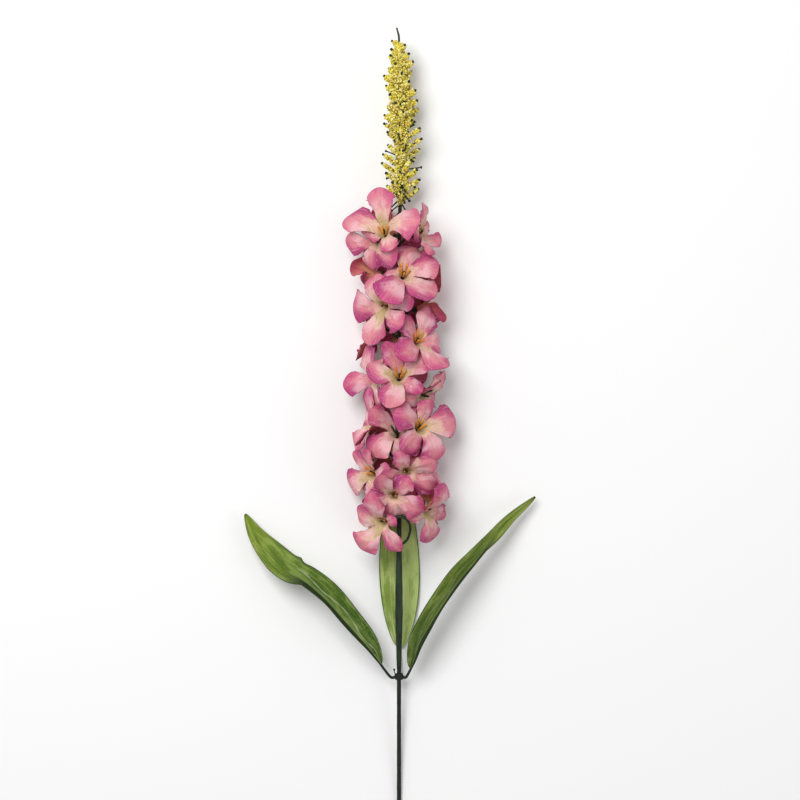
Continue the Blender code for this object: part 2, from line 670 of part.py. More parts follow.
def sprig_shapes():
    """Sprigs on the screw line of the bud tip, with a bulb on each end."""
    shapes = []
    draw = np.random.default_rng(SPRIG_SEED)
    turns = (BUD_END - BUD_START) / BUD_PITCH
    for k in range(int(turns * 2.0 * np.pi / SPRIG_STEP)):
        angle = k * SPRIG_STEP
        place = BUD_START + BUD_PITCH * angle / (2.0 * np.pi)
        reach = bud_radius(place) + draw.uniform(*SPRIG_STAND_OUT)
        outward = np.array([np.sin(angle), 0.0, np.cos(angle)])
        direction = np.cos(BUD_SLOPE) * outward + np.array([0.0, np.sin(BUD_SLOPE), 0.0])
        length = reach / np.cos(BUD_SLOPE)
        steps = np.array([SPRIG_ROOT, length - SPRIG_NECK, length - SPRIG_WAIST, length])[:, None]
        radii = [SPRIG_RADIUS, SPRIG_RADIUS, SPRIG_TIP_RADIUS, SPRIG_TIP_RADIUS * SPRIG_TIP_BLUNT]
        shapes.append(bar(axis_point(place) + steps * direction, radii, SPRIG_SIDES))
    return shapes


def build_spike(pegs, green):
    """The moulded spike: its socket over the wire, its axis, pegs with stamens, and sprigs."""
    places = np.unique([pair[0] for pair in SPIKE_RADII] + list(SPIKE_EXTRA_PLACES))
    outer = rings(axis_point(places), table(SPIKE_RADII, places), STEM_SIDES)
    depth = axis_point(np.linspace(SPIKE_START, SPIKE_START + SOCKET_DEPTH, SOCKET_ROWS))
    inner = rings(depth, np.full(len(depth), BORE_RADIUS), STEM_SIDES)
    base = add_object("flower_spike", *tube(outer, inner, blind=True), green)
    shapes = [shape for peg in pegs for shape in peg] + sprig_shapes()
    fuse(base, [add_object("piece", *shape, green) for shape in shapes])


def build_crumbs(yellow):
    """The coat of crumbs: one band that winds between the sprigs, rough on its outer side."""
    draw = np.random.default_rng(CRUMB_SEED)
    turns = (BUD_END - BUD_START) / BUD_PITCH - 1.0
    count = int(turns * CRUMBS_A_TURN)
    number = np.arange(count)
    angles = number * 2.0 * np.pi / CRUMBS_A_TURN
    places = BUD_START + BUD_PITCH * (angles / (2.0 * np.pi) + 0.5)
    outward = np.stack([np.sin(angles), np.zeros(count), np.cos(angles)], axis=1)
    core = table(SPIKE_RADII, places) / np.cos(np.pi / STEM_SIDES) + CRUMB_GAP
    ends = np.clip(np.minimum(number, number[::-1]) / CRUMB_END_ROWS, CRUMB_END_SHARE, 1.0)
    depth = (bud_radius(places) - core) * ends * draw.uniform(*CRUMB_REACH, count)
    half = 0.5 * BUD_PITCH - (SPRIG_TIP_RADIUS + CRUMB_GAP) / np.cos(BUD_SLOPE)
    loops = []
    for share, level in CRUMB_SECTION:
        wave = draw.uniform(*CRUMB_WAVE, count)
        dent = draw.uniform(*CRUMB_DENT, count) if share else np.ones(count)
        radius = core + depth * share * dent
        shift = half * level * wave + radius * np.tan(BUD_SLOPE)
        loops.append(axis_point(places) + radius[:, None] * outward + shift[:, None] * [0.0, 1.0, 0.0])
    sections = np.stack(loops, axis=1)
    sides = len(CRUMB_SECTION)
    faces = []
    for near, left, far_left, far in ring_faces(count, sides):
        faces.append((left, near, far))
        faces.append((left, far, far_left))
    faces.append(tuple(range(sides)))
    faces.append(tuple(reversed(range((count - 1) * sides, count * sides))))
    add_object("bud_crumbs", sections.reshape(-1, 3), faces, yellow)


# Leaves. spine: the line of the arm and spine, across, along and above the surface. blade: where on
# that line the blade starts. folds: how far each half of the blade is folded up, in degrees, from
# the base to the tip, on the left and on the right of the spine as one looks along it.
LEAVES = {
    "leaf_left": dict(
        spine=((-2.9, 144.2, 16.0), (-7.6, 143.8, 16.2), (-13.8, 151.0, 17.0), (-23.5, 164.5, 18.5),
               (-35.0, 178.3, 20.0), (-52.3, 197.9, 21.0), (-69.4, 217.4, 20.5), (-86.7, 232.4, 18.5),
               (-104.0, 244.6, 15.5), (-122.6, 262.7, 12.0), (-136.5, 280.0, 9.5), (-146.8, 299.0, 8.0)),
        blade=0.22, half_width=1.0,
        folds=((0.0, 81, 20), (0.55, 83, 24), (0.72, 30, 18), (1.0, 15, 15))),
    "leaf_right": dict(
        spine=((2.9, 144.6, 16.0), (6.5, 143.8, 16.2), (10.6, 150.6, 17.0), (14.8, 160.5, 18.5),
               (20.3, 177.2, 21.0), (31.3, 196.4, 22.5), (44.6, 217.1, 22.5), (59.1, 237.7, 21.0),
               (73.6, 254.7, 18.5), (88.2, 272.8, 15.0), (106.0, 294.0, 11.0), (130.0, 315.5, 7.5)),
        blade=0.2, half_width=0.77,
        folds=((0.0, 20, 81), (0.72, 24, 83), (0.9, 26, 55), (1.0, 15, 15))),
    "leaf_back": dict(
        spine=((0.3, 144.4, 12.8), (0.6, 142.6, 8.6), (0.9, 148.0, 5.0), (1.0, 158.0, 2.8),
               (1.0, 172.0, 1.4), (1.0, 195.0, 1.0), (0.8, 220.0, 1.0), (0.4, 245.0, 1.0),
               (0.0, 272.0, 1.0), (-0.8, 300.0, 1.0), (-1.6, 325.0, 1.0), (-2.4, 343.0, 1.0)),
        blade=0.36, half_width=1.0,
        folds=((0.0, 10, 10), (0.4, 3, 3), (1.0, 3, 3))),
}


def spine_radius(step):
    """Radius of an arm and spine, from the collar to the end."""
    return table(SPINE_PROFILE, step)


def leaf_points(leaf, along, across):
    """Middle surface of a leaf, from base to tip, folded along the spine that runs under it."""
    step = leaf["blade"] + (1.0 - leaf["blade"]) * along
    shape = step.shape
    flat = step.ravel()
    middle = curve(leaf["spine"], flat)
    ahead = curve(leaf["spine"], np.clip(flat + NEARBY, 0.0, 1.0))
    behind = curve(leaf["spine"], np.clip(flat - NEARBY, 0.0, 1.0))
    tangent = unit(ahead - behind)
    side = unit(np.cross(tangent, np.array([0.0, 0.0, 1.0])))
    normal = np.cross(side, tangent)
    places = [fold[0] for fold in leaf["folds"]]
    left = np.interp(along.ravel(), places, [fold[1] for fold in leaf["folds"]])
    right = np.interp(along.ravel(), places, [fold[2] for fold in leaf["folds"]])
    reach = across.ravel() * LEAF_HALF_WIDTH * leaf["half_width"]
    outline = np.sin(np.pi * np.clip(along.ravel(), 0.0, 1.0) ** LEAF_LATE) ** LEAF_FULL
    reach = reach * (LEAF_TIP_SHARE + (1.0 - LEAF_TIP_SHARE) * outline)
    sharpness = smooth(LEAF_FOLD_FOOT + LEAF_FOLD_RISE * np.abs(across.ravel()))
    fold = np.radians(np.where(reach < 0.0, left, right)) * sharpness
    stand = spine_radius(flat) + CLEARANCE + LEAF_HALF_THICKNESS
    aside = reach * np.cos(fold)
    rise = np.abs(reach) * np.sin(fold) + stand
    points = middle + aside[:, None] * side + rise[:, None] * normal
    return points.reshape(*shape, 3)


def leaf_sheet(leaf):
    """Points and faces of a leaf's blade of cloth."""
    along, across = np.meshgrid(np.linspace(0.0, 1.0, LEAF_ROWS),
                                np.linspace(-1.0, 1.0, LEAF_COLUMNS), indexing="ij")
    points = leaf_points(leaf, along, across).reshape(-1, 3)
    return thicken(points, grid_triangles(LEAF_ROWS, LEAF_COLUMNS), LEAF_HALF_THICKNESS)


def build_collar(green):
    """The collar on the stem with its nub, and its three arms that run on as spines."""
    places = COLLAR_PLACE + COLLAR_HALF * np.array([level for level, _ in COLLAR_ROWS])
    outer = rings(axis_point(places), [share * COLLAR_RADIUS for _, share in COLLAR_ROWS], COLLAR_SIDES)
    bore = COAT_RADIUS + CLEARANCE + COLLAR_BORE_GAP
    inner = rings(axis_point(places[[0, -1]]), [bore, bore], COLLAR_SIDES)
    base = add_object("leaf_collar", *tube(outer, inner, blind=False), green)
    shapes = [bar(np.array(COLLAR_NUB), COLLAR_NUB_RADII, SPINE_SIDES)]
    steps = np.linspace(0.0, SPINE_END, SPINE_ROWS)
    shapes += [bar(curve(leaf["spine"], steps), spine_radius(steps), SPINE_SIDES)
               for leaf in LEAVES.values()]
    fuse(base, [add_object("piece", *shape, green) for shape in shapes])


def centre_on_origin():
    """Move every piece so that the middle of the whole object's foot is the origin."""
    objects = list(bpy.context.scene.objects)
    corners = np.array([vertex.co for piece in objects for vertex in piece.data.vertices])
    low = corners.min(axis=0)
    high = corners.max(axis=0)
    shift = np.array([-(low[0] + high[0]) / 2.0, -(low[1] + high[1]) / 2.0, -low[2]])
    for piece in objects:
        places = np.array([vertex.co for vertex in piece.data.vertices]) + shift
        piece.data.vertices.foreach_set("co", places.astype(np.float32).ravel())
        piece.data.update()
        piece.data.shade_smooth()
        piece.data.set_sharp_from_angle(angle=SHARP_ANGLE)


def main():
    """Build the stem."""
    for piece in list(bpy.data.objects):
        bpy.data.objects.remove(piece)
    stem_green = material("stem_green", (0.03, 0.05, 0.03), 0.45)
    leaf_green = material("leaf_green", (0.20, 0.36, 0.08), 0.6)
    petal_pink = material("petal_pink", (0.72, 0.24, 0.40), 0.7)
    crumb_yellow = material("crumb_yellow", (0.75, 0.6, 0.08), 0.9)
    wire_steel = material("wire_steel", (0.5, 0.5, 0.5), 0.35, 1.0)

    build_stem(stem_green, wire_steel)
    build_collar(stem_green)
    for name, leaf in LEAVES.items():
        add_object(name, *leaf_sheet(leaf), leaf_green)
    places = np.linspace(SPIKE_START, STEM_LENGTH, AXIS_SPACE_ROWS)
    axis_space = bar(axis_point(places), table(SPIKE_RADII, places) + CLEARANCE, STEM_SIDES)
    fixed = [leaf_sheet(LEAVES["leaf_back"]), axis_space, *sprig_shapes()[:LOW_SPRIGS]]
    corollas, pegs = arrange(FLORETS, fixed)
    build_spike(pegs, stem_green)
    build_crumbs(crumb_yellow)
    for number, (frame, petals) in enumerate(corollas, start=1):
        add_object("corolla_%02d" % number, *thicken(*corolla_mesh(frame, petals), CLOTH_HALF),
                   petal_pink)
    centre_on_origin()


main()
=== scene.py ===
"""Looks of the artificial delphinium stem: the finish of every piece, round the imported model.

Pieces are worked out in millimetres on the stem's own line: x across it, y along it from the cut
end, z above the surface that it lies on.
"""

import bpy
import numpy as np
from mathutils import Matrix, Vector
from mathutils.bvhtree import BVHTree


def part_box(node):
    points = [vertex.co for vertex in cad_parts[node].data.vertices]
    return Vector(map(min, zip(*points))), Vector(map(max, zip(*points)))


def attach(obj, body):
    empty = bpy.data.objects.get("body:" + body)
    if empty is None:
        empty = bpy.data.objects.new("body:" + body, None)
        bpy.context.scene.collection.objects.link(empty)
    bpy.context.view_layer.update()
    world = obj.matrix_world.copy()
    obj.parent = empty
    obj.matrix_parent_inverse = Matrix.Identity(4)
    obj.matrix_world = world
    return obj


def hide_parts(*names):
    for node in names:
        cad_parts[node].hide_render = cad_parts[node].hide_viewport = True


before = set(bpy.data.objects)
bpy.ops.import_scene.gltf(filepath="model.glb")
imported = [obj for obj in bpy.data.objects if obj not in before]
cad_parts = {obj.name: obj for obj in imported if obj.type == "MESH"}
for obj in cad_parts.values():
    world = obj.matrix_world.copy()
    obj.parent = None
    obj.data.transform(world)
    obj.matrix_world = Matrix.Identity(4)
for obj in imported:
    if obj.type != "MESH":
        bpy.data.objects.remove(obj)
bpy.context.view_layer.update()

# Wire core: drawn steel wire that stiffens the lower stem and the foot of the flower spike. It was
# cut off with pliers together with its coat, so its end shows as a small bright disc with a burr.
MM = 0.001
WIRE_RADIUS = 1.1
WIRE_SIDES = 6
WIRE_FINE_SIDES = 28
REST_HEIGHT = 2.0
HEAD_HEIGHT = 28.0
RISE_END = 275.0
SWAY = 3.2
SWAY_PLACE = 645.0
SWAY_REACH = 50.0
HOOK = 2.4
HOOK_START = 752.0
HOOK_LENGTH = 12.0
SPIKE_START = 151.5
SOCKET_DEPTH = 112.0
WIRE_END = SPIKE_START + SOCKET_DEPTH - 1.0
WIRE_ROWS = 15
WIRE_FINE_ROWS = 60
WIRE_CUT = ((0.0, 0.86), (0.12, 1.04), (0.3, WIRE_RADIUS))


def rise(value):
    """Rise from 0 to 1 with level ends: three times the square less twice the cube."""
    value = np.clip(value, 0.0, 1.0)
    return value * value * (3.0 - 2.0 * value)


def unit(vector):
    """The vector at length 1: divided by the root of the sum of its squares."""
    return vector / np.linalg.norm(vector, axis=-1, keepdims=True)


def read_off(pairs, places):
    """Straight lines through (place, value) pairs, read at the places."""
    return np.interp(places, [pair[0] for pair in pairs], [pair[1] for pair in pairs])


def stem_point(place):
    """Middle of the stem at a distance from the cut end.

    Across: a bell-shaped sway less a hook at the tip. Height: from the rest height it rises to the
    head's height and stays there.
    """
    place = np.asarray(place, float)
    across = SWAY * np.exp(-((place - SWAY_PLACE) / SWAY_REACH) ** 2)
    across = across - HOOK * rise((place - HOOK_START) / HOOK_LENGTH)
    height = REST_HEIGHT + (HEAD_HEIGHT - REST_HEIGHT) * rise(place / RISE_END)
    return np.stack([across, place, height], axis=-1)


def hoops(path, radii, sides):
    """Rings across a path: each point is the path's, plus the radius times a turned direction.

    The direction is handed on from ring to ring, less its part along the path, so nothing twists.
    """
    tangents = unit(np.gradient(path, axis=0))
    side = np.array([1.0, 0.0, 0.0]) if abs(tangents[0][0]) < 0.8 else np.array([0.0, 0.0, 1.0])
    sideways = []
    for tangent in tangents:
        side = unit(side - tangent * (side @ tangent))
        sideways.append(side)
    sideways = np.array(sideways)[:, None]
    upwards = np.cross(tangents[:, None], sideways)
    angles = ((np.arange(sides) + 0.5) * 2.0 * np.pi / sides)[None, :, None]
    circle = np.cos(angles) * sideways + np.sin(angles) * upwards
    return path[:, None] + np.asarray(radii, float)[:, None, None] * circle


def wrap(rows, sides, start=0):
    """Four-sided faces between neighbouring rings: a point, the next, and the same a ring on."""
    near = start + np.arange((rows - 1) * sides).reshape(rows - 1, sides)
    left = np.roll(near, -1, axis=1)
    return np.stack([near, left, left + sides, near + sides], axis=-1).reshape(-1, 4)


def sweep(path, radii, sides, **fields):
    """A closed round bar: rings along a path, joined, and a flat face on each end.

    Fields hold one number for each ring, which all its points take.
    """
    path = np.asarray(path, float)
    rows = len(path)
    ends = np.arange(sides)[None]
    shell = {"points": hoops(path, radii, sides).reshape(-1, 3),
             "faces": [wrap(rows, sides), ends[:, ::-1], ends + (rows - 1) * sides]}
    for name, values in fields.items():
        shell[name] = np.repeat(np.broadcast_to(np.asarray(values, float), rows), sides)
    return shell


def gather(shells):
    """One shell from several: their points in a row, their faces counted on."""
    result = {"faces": []}
    for name in shells[0]:
        if name != "faces":
            result[name] = np.concatenate([shell[name] for shell in shells])
    count = 0
    for shell in shells:
        result["faces"] += [faces + count for faces in shell["faces"]]
        count += len(shell["points"])
    return result


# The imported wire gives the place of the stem's line in the frame
_wire_path = stem_point(np.linspace(0.0, WIRE_END, WIRE_ROWS))
_wire_low = hoops(_wire_path, np.full(WIRE_ROWS, WIRE_RADIUS), WIRE_SIDES).reshape(-1, 3).min(axis=0)
SHIFT = np.array(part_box("wire_core")[0]) - _wire_low * MM


def new_piece(name, shell, finish, flat=False):
    """A mesh object from a shell: its points in metres, its faces, and its fields as attributes."""
    mesh = bpy.data.meshes.new(name)
    points = (shell["points"] * MM + SHIFT).astype(np.float32)
    sizes = np.concatenate([np.full(len(faces), faces.shape[1]) for faces in shell["faces"]])
    corners = np.concatenate([faces.ravel() for faces in shell["faces"]])
    mesh.vertices.add(len(points))
    mesh.vertices.foreach_set("co", points.ravel())
    mesh.loops.add(len(corners))
    mesh.loops.foreach_set("vertex_index", corners.astype(np.int32))
    mesh.polygons.add(len(sizes))
    mesh.polygons.foreach_set("loop_start", (np.cumsum(sizes) - sizes).astype(np.int32))
    for field, values in shell.items():
        if field not in ("points", "faces"):
            attribute = mesh.attributes.new(field, "FLOAT", "POINT")
            attribute.data.foreach_set("value", np.asarray(values, np.float32))
    mesh.update(calc_edges=True)
    if not flat:
        mesh.shade_smooth()
    mesh.materials.append(finish.material)
    made = bpy.data.objects.new(name, mesh)
    bpy.context.scene.collection.objects.link(made)
    return made


def paint(colour):
    """A screen's red, green and blue out of 255 as the light that the shader counts with."""
    shares = np.array(colour) / 255.0
    return tuple(float(v) for v in np.where(shares < 0.04045, shares / 12.92,
                                            ((shares + 0.055) / 1.055) ** 2.4))


class Value:
    """A socket of a finish; sums and products of values add Math nodes."""

    def __init__(self, finish, socket):
        self.finish = finish
        self.socket = socket

    def _math(self, operation, *terms):
        return self.finish.node("Math", {"operation": operation}, dict(enumerate(terms)))

    def __add__(self, other):
        return self._math("ADD", self, other)

    def __radd__(self, other):
        return self._math("ADD", other, self)

    def __sub__(self, other):
        return self._math("SUBTRACT", self, other)

    def __rsub__(self, other):
        return self._math("SUBTRACT", other, self)

    def __mul__(self, other):
        return self._math("MULTIPLY", self, other)

    def __rmul__(self, other):
        return self._math("MULTIPLY", other, self)

    def __pow__(self, other):
        return self._math("POWER", self, other)

    def __abs__(self):
        return self._math("ABSOLUTE", self)

    def sine(self):
        """Its sine."""
        return self._math("SINE", self)

    def eased(self, low, high):
        """0 at low and under, 1 at high and over, with level ends."""
        return self.finish.node("MapRange", {"interpolation_type": "SMOOTHSTEP"},
                                {"Value": self, "From Min": low, "From Max": high})


class Finish:
    """A material with one Principled shader, whose fixed numbers are set on its own sockets."""

    def __init__(self, name, settings):
        self.material = bpy.data.materials.new(name)
        self.material.use_nodes = True
        self.nodes = self.material.node_tree.nodes
        self.shader = self.nodes["Principled BSDF"]
        for socket, value in settings.items():
            self.shader.inputs[socket].default_value = value

    def join(self, socket, value):
        """Link a value to a socket, or set it there."""
        if isinstance(value, Value):
            self.material.node_tree.links.new(value.socket, socket)
        elif isinstance(value, tuple) and socket.type == "RGBA":
            socket.default_value = (*value, 1.0)
        else:
            socket.default_value = value

    def node(self, kind, settings, values, output=0):
        """Any other node: its type, its settings, and the values or links of its sockets."""
        made = self.nodes.new("ShaderNode" + kind)
        for setting, value in settings.items():
            setattr(made, setting, value)
        for socket, value in values.items():
            self.join(made.inputs[socket], value)
        return Value(self, made.outputs[output])

    def field(self, name):
        """A field that the mesh carries."""
        return self.node("Attribute", {"attribute_name": name}, {}, output="Fac")

    def place(self, stretch=(1.0, 1.0, 1.0)):
        """The place on the object in millimetres, each direction divided by its stretch."""
        scale = tuple(1.0 / (MM * part) for part in stretch)
        where = self.node("TexCoord", {}, {}, output="Object")
        return self.node("VectorMath", {"operation": "MULTIPLY"}, {0: where, 1: scale})

    def point(self, x, y, z):
        """A vector from three values."""
        return self.node("CombineXYZ", {}, {"X": x, "Y": y, "Z": z})

    def noise(self, where, size, detail=2.0):
        """Cloudy noise about 0.5, with blotches of a size."""
        return self.node("TexNoise", {}, {"Vector": where, "Scale": 1.0 / size, "Detail": detail})

    def layers(self, colour, *coats):
        """A colour with coats over it in turn: for each its share from 0 to 1, and its colour.

        A colour is a value, or the red, green and blue of a screen out of 255.
        """
        for share, coat in coats:
            under, over = (shade if isinstance(shade, Value) else paint(shade) for shade in (colour, coat))
            colour = self.node("Mix", {"data_type": "RGBA"}, {0: share, 6: under, 7: over}, output=2)
        return colour

    def feed(self, socket, value):
        """Feed a socket of the shader."""
        self.join(self.shader.inputs[socket], value)

    def relief(self, height, depth):
        """Bump the surface by a height from 0 to 1 that stands for a depth in millimetres."""
        bump = self.node("Bump", {}, {"Distance": depth * MM, "Height": height})
        self.feed("Normal", bump)


wire_steel = Finish("wire_steel", {"Metallic": 1.0})
_drawn = wire_steel.noise(wire_steel.place((0.12, 6.0, 0.12)), 1.0)
wire_steel.feed("Base Color", wire_steel.layers((126, 124, 120), (_drawn, (186, 184, 178))))
wire_steel.feed("Roughness", 0.24 + 0.2 * _drawn)
wire_steel.relief(_drawn, 0.03)

_places = np.concatenate([np.transpose(WIRE_CUT)[0], np.linspace(1.0, WIRE_END, WIRE_FINE_ROWS)])
wire = new_piece("wire", sweep(stem_point(_places), read_off(WIRE_CUT, _places), WIRE_FINE_SIDES),
                 wire_steel)
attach(wire, "root")
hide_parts("wire_core")

# Stem coat: dark green plastic drawn over the wire. It is glossy along its back, a little uneven
# where it cooled, and the pliers pinched its cut end.
COAT_RADIUS = 2.05
BORE_RADIUS = 1.45
CLEARANCE = 0.3
COAT_SIDES = 32
COAT_END = SPIKE_START - CLEARANCE
COAT_ROWS = 110
BORE_ROWS = 60
COAT_CUT = ((0.0, 1.78), (0.15, 1.94), (0.5, 2.06), (1.2, 2.1), (2.2, 2.07))
COAT_ROUND = 0.15
COAT_WAVES = ((0.035, 0.21, 0.0), (0.025, 0.53, 1.0))


def tube(outer, inner, blind):
    """A tube from its outer and inner rings, open right through or blind at the far end."""
    rows, sides = outer.shape[:2]
    shift = rows * sides
    near = np.arange(sides)
    left = np.roll(near, -1)
    first = np.stack([left, near, shift + near, shift + left], axis=1)
    faces = [wrap(rows, sides), wrap(len(inner), sides, shift)[:, ::-1], first]
    outer_end = shift - sides
    inner_end = shift + (len(inner) - 1) * sides
    if blind:
        faces += [near[None] + outer_end, near[None, ::-1] + inner_end]
    else:
        faces.append(np.stack([outer_end + near, outer_end + left,
                               inner_end + left, inner_end + near], axis=1))
    return {"points": np.vstack([outer.reshape(-1, 3), inner.reshape(-1, 3)]), "faces": faces}


def green_plastic(name, dark, light, marks):
    """Dark green plastic: lighter in patches, with a fine mottle of marks and shallow sinks."""
    finish = Finish(name, {"Specular IOR Level": 0.3, "Coat Roughness": 0.3})
    mottle = finish.noise(finish.place(), 0.8)
    patches = finish.noise(finish.place((1.0, 3.0, 1.0)), 5.0)
    finish.feed("Base Color", finish.layers(dark, (patches.eased(0.35, 0.65), light),
                                            (mottle.eased(0.5, 0.75) * 0.5, marks)))
    finish.feed("Roughness", 0.42 + 0.22 * mottle)
    finish.feed("Coat Weight", 0.02 + 0.08 * patches)
    finish.relief(mottle * 0.5 + patches * 0.5, 0.12)
    return finish


stem_plastic = green_plastic("stem_plastic", (12, 20, 14), (24, 33, 25), (40, 50, 40))
_cut, _cut_radii = np.transpose(COAT_CUT)
_places = np.concatenate([_cut, np.linspace(4.0, COAT_END - 0.4, COAT_ROWS), [COAT_END]])
_radii = COAT_RADIUS + sum(reach * np.sin(_places * rate + phase) for reach, rate, phase in COAT_WAVES)
_radii[:len(_cut)] = _cut_radii
_radii[-1] = COAT_RADIUS - COAT_ROUND
_bore = stem_point(np.linspace(0.0, COAT_END, BORE_ROWS))
coat = new_piece("coat", tube(hoops(stem_point(_places), _radii, COAT_SIDES),
                              hoops(_bore, np.full(BORE_ROWS, BORE_RADIUS), COAT_SIDES),
                              blind=False), stem_plastic)
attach(coat, "root")
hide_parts("stem_coat")

# Leaf collar: one moulding of the same plastic, pushed up the stem until it grips. Its three arms
# leave it level, bend up and run on as the spines that the leaf blades are glued along, and a
# small nub is left where the plastic was fed into the mould.
COLLAR_PLACE = 144.5
COLLAR_HALF = 3.0
COLLAR_RADIUS = 3.9
COLLAR_BORE_GAP = 0.1
COLLAR_PROFILE = ((-1.0, 0.84), (-0.93, 0.93), (-0.8, 0.985), (-0.6, 1.0), (-0.2, 0.97), (0.2, 0.97),
                  (0.6, 1.0), (0.8, 0.985), (0.93, 0.93), (1.0, 0.84))
COLLAR_NUB = ((-3.35, 145.2, 16.2), (-4.3, 149.0, 17.2), (-4.8, 153.2, 17.8))
COLLAR_SIDES = 40
NUB_FORM = ((0.0, 0.9), (0.2, 0.5), (0.55, 0.45), (0.68, 0.8), (0.76, 1.0), (0.84, 0.8), (0.9, 0.2))
NUB_ROWS = 14
NUB_SIDES = 14
SPINE_END = 0.86
SPINE_PROFILE = ((0.0, 1.5), (0.12, 1.35), (0.35, 0.95), (1.0, 0.5))
SPINE_TIP = 0.02
SPINE_ROUND = ((0.5, 0.92), (0.25, 0.75), (0.1, 0.5), (0.0, 0.15))
SPINE_ROWS = 120
SPINE_SIDES = 16

# For each leaf the line of its arm and spine, where its blade starts on that line, its width, and
# how far each half of the blade is folded up, in degrees, from its base to its tip
LEAVES = {
    "leaf_left": dict(
        spine=((-2.9, 144.2, 16.0), (-7.6, 143.8, 16.2), (-13.8, 151.0, 17.0), (-23.5, 164.5, 18.5),
               (-35.0, 178.3, 20.0), (-52.3, 197.9, 21.0), (-69.4, 217.4, 20.5), (-86.7, 232.4, 18.5),
               (-104.0, 244.6, 15.5), (-122.6, 262.7, 12.0), (-136.5, 280.0, 9.5), (-146.8, 299.0, 8.0)),
        blade=0.22, half_width=1.0, kink=1.9,
        folds=((0.0, 81, 20), (0.55, 83, 24), (0.72, 30, 18), (1.0, 15, 15))),
    "leaf_right": dict(
        spine=((2.9, 144.6, 16.0), (6.5, 143.8, 16.2), (10.6, 150.6, 17.0), (14.8, 160.5, 18.5),
               (20.3, 177.2, 21.0), (31.3, 196.4, 22.5), (44.6, 217.1, 22.5), (59.1, 237.7, 21.0),
               (73.6, 254.7, 18.5), (88.2, 272.8, 15.0), (106.0, 294.0, 11.0), (130.0, 315.5, 7.5)),
        blade=0.2, half_width=0.77,
        folds=((0.0, 20, 81), (0.72, 24, 83), (0.9, 26, 55), (1.0, 15, 15))),
    "leaf_back": dict(
        spine=((0.3, 144.4, 12.8), (0.6, 142.6, 8.6), (0.9, 148.0, 5.0), (1.0, 158.0, 2.8),
               (1.0, 172.0, 1.4), (1.0, 195.0, 1.0), (0.8, 220.0, 1.0), (0.4, 245.0, 1.0),
               (0.0, 272.0, 1.0), (-0.8, 300.0, 1.0), (-1.6, 325.0, 1.0), (-2.4, 343.0, 1.0)),
        blade=0.36, half_width=1.0,
        folds=((0.0, 10, 10), (0.4, 3, 3), (1.0, 3, 3))),
}


def curve(points, steps):
    """A smooth line through the points, a Catmull-Rom spline: on each stretch a cubic in the
    step that leaves each point in the direction of its two neighbours."""
    points = np.asarray(points, float)
    padded = np.vstack([2 * points[0] - points[1], points, 2 * points[-1] - points[-2]])
    position = np.asarray(steps, float) * (len(points) - 1)
    index = np.clip(position.astype(int), 0, len(points) - 2)
    t = (position - index)[:, None]
    a, b, c, d = (padded[index + k] for k in range(4))
    return 0.5 * (2 * b + (c - a) * t + (2 * a - 5 * b + 4 * c - d) * t ** 2
                  + (3 * b - a - 3 * c + d) * t ** 3)


def collar_moulding():
    """The collar's barrel with its bore, the three tapering arms and the nub."""
    levels, shares = np.transpose(COLLAR_PROFILE)
    places = COLLAR_PLACE + COLLAR_HALF * levels
    outer = hoops(stem_point(places), shares * COLLAR_RADIUS, COLLAR_SIDES)
    bore = COAT_RADIUS + CLEARANCE + COLLAR_BORE_GAP
    inner = hoops(stem_point(places[[0, -1]]), [bore, bore], COLLAR_SIDES)
    shells = [tube(outer, inner, blind=False)]
    back, rounding = np.transpose(SPINE_ROUND)
    steps = np.concatenate([np.linspace(0.0, SPINE_END - SPINE_TIP, SPINE_ROWS),
                            SPINE_END - SPINE_TIP * back])
    radii = read_off(SPINE_PROFILE, steps)
    radii[-len(back):] *= rounding
    for leaf in LEAVES.values():
        shells.append(sweep(curve(leaf["spine"], steps), radii, SPINE_SIDES))
    steps = np.linspace(0.0, NUB_FORM[-1][0], NUB_ROWS)
    shells.append(sweep(curve(COLLAR_NUB, steps), read_off(NUB_FORM, steps), NUB_SIDES))
    return gather(shells)


collar = new_piece("collar", collar_moulding(), stem_plastic)
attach(collar, "root")
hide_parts("leaf_collar")

# Leaves: blades cut from stiffened green cloth and pressed hot, which gives them fine lengthwise
# ribs. They are glued on top of their spines. The two side leaves are folded up along the spine.
LEAF_HALF_WIDTH = 19.4
LEAF_STAND = 0.33
LEAF_HALF_THICKNESS = 0.2
LEAF_TIP_SHARE = 0.06
LEAF_LATE = 0.82
LEAF_FULL = 0.8
LEAF_FOLD_FOOT = 0.3
LEAF_FINE_ROWS = 170
LEAF_FINE_COLUMNS = 45
LEAF_EDGE = 0.07
LEAF_RIBS = 11
LEAF_RIB_DEPTH = 0.13
LEAF_FOLD_RISE = 7.0
LEAF_COARSE_RISE = 2.0
LEAF_COARSE_ROWS = 12
LEAF_COARSE_COLUMNS = 5
NEARBY = 0.01

# Groove over the spine: depth and width. Waves of a blade's edges: height, rate along the blade,
# and 1 for the right edge or -1 for the left. The kink of a right edge: height, place and length
# of its bulge, and of the dent before it.
LEAF_GROOVE = (0.35, 0.05)
LEAF_WAVES = ((0.7, 9.0, 1.0), (0.45, 21.0, 1.0), (0.7, 8.0, -1.0), (0.45, 19.0, -1.0))
LEAF_KINK = ((1.0, 0.645, 0.022), (-0.4, 0.6, 0.03))


def edged(edge, count):
    """Places from -1 to 1: evenly spread, with a narrow step beside each end."""
    return np.concatenate([[-1.0], np.linspace(-1.0 + edge, 1.0 - edge, count), [1.0]])


def lattice(index):
    """Triangles between neighbouring points of a grid of point numbers, two to a cell."""
    a, b, c, d = index[:-1, :-1], index[:-1, 1:], index[1:, 1:], index[1:, :-1]
    return np.concatenate([np.stack([a, b, c], axis=-1).reshape(-1, 3),
                           np.stack([a, c, d], axis=-1).reshape(-1, 3)])


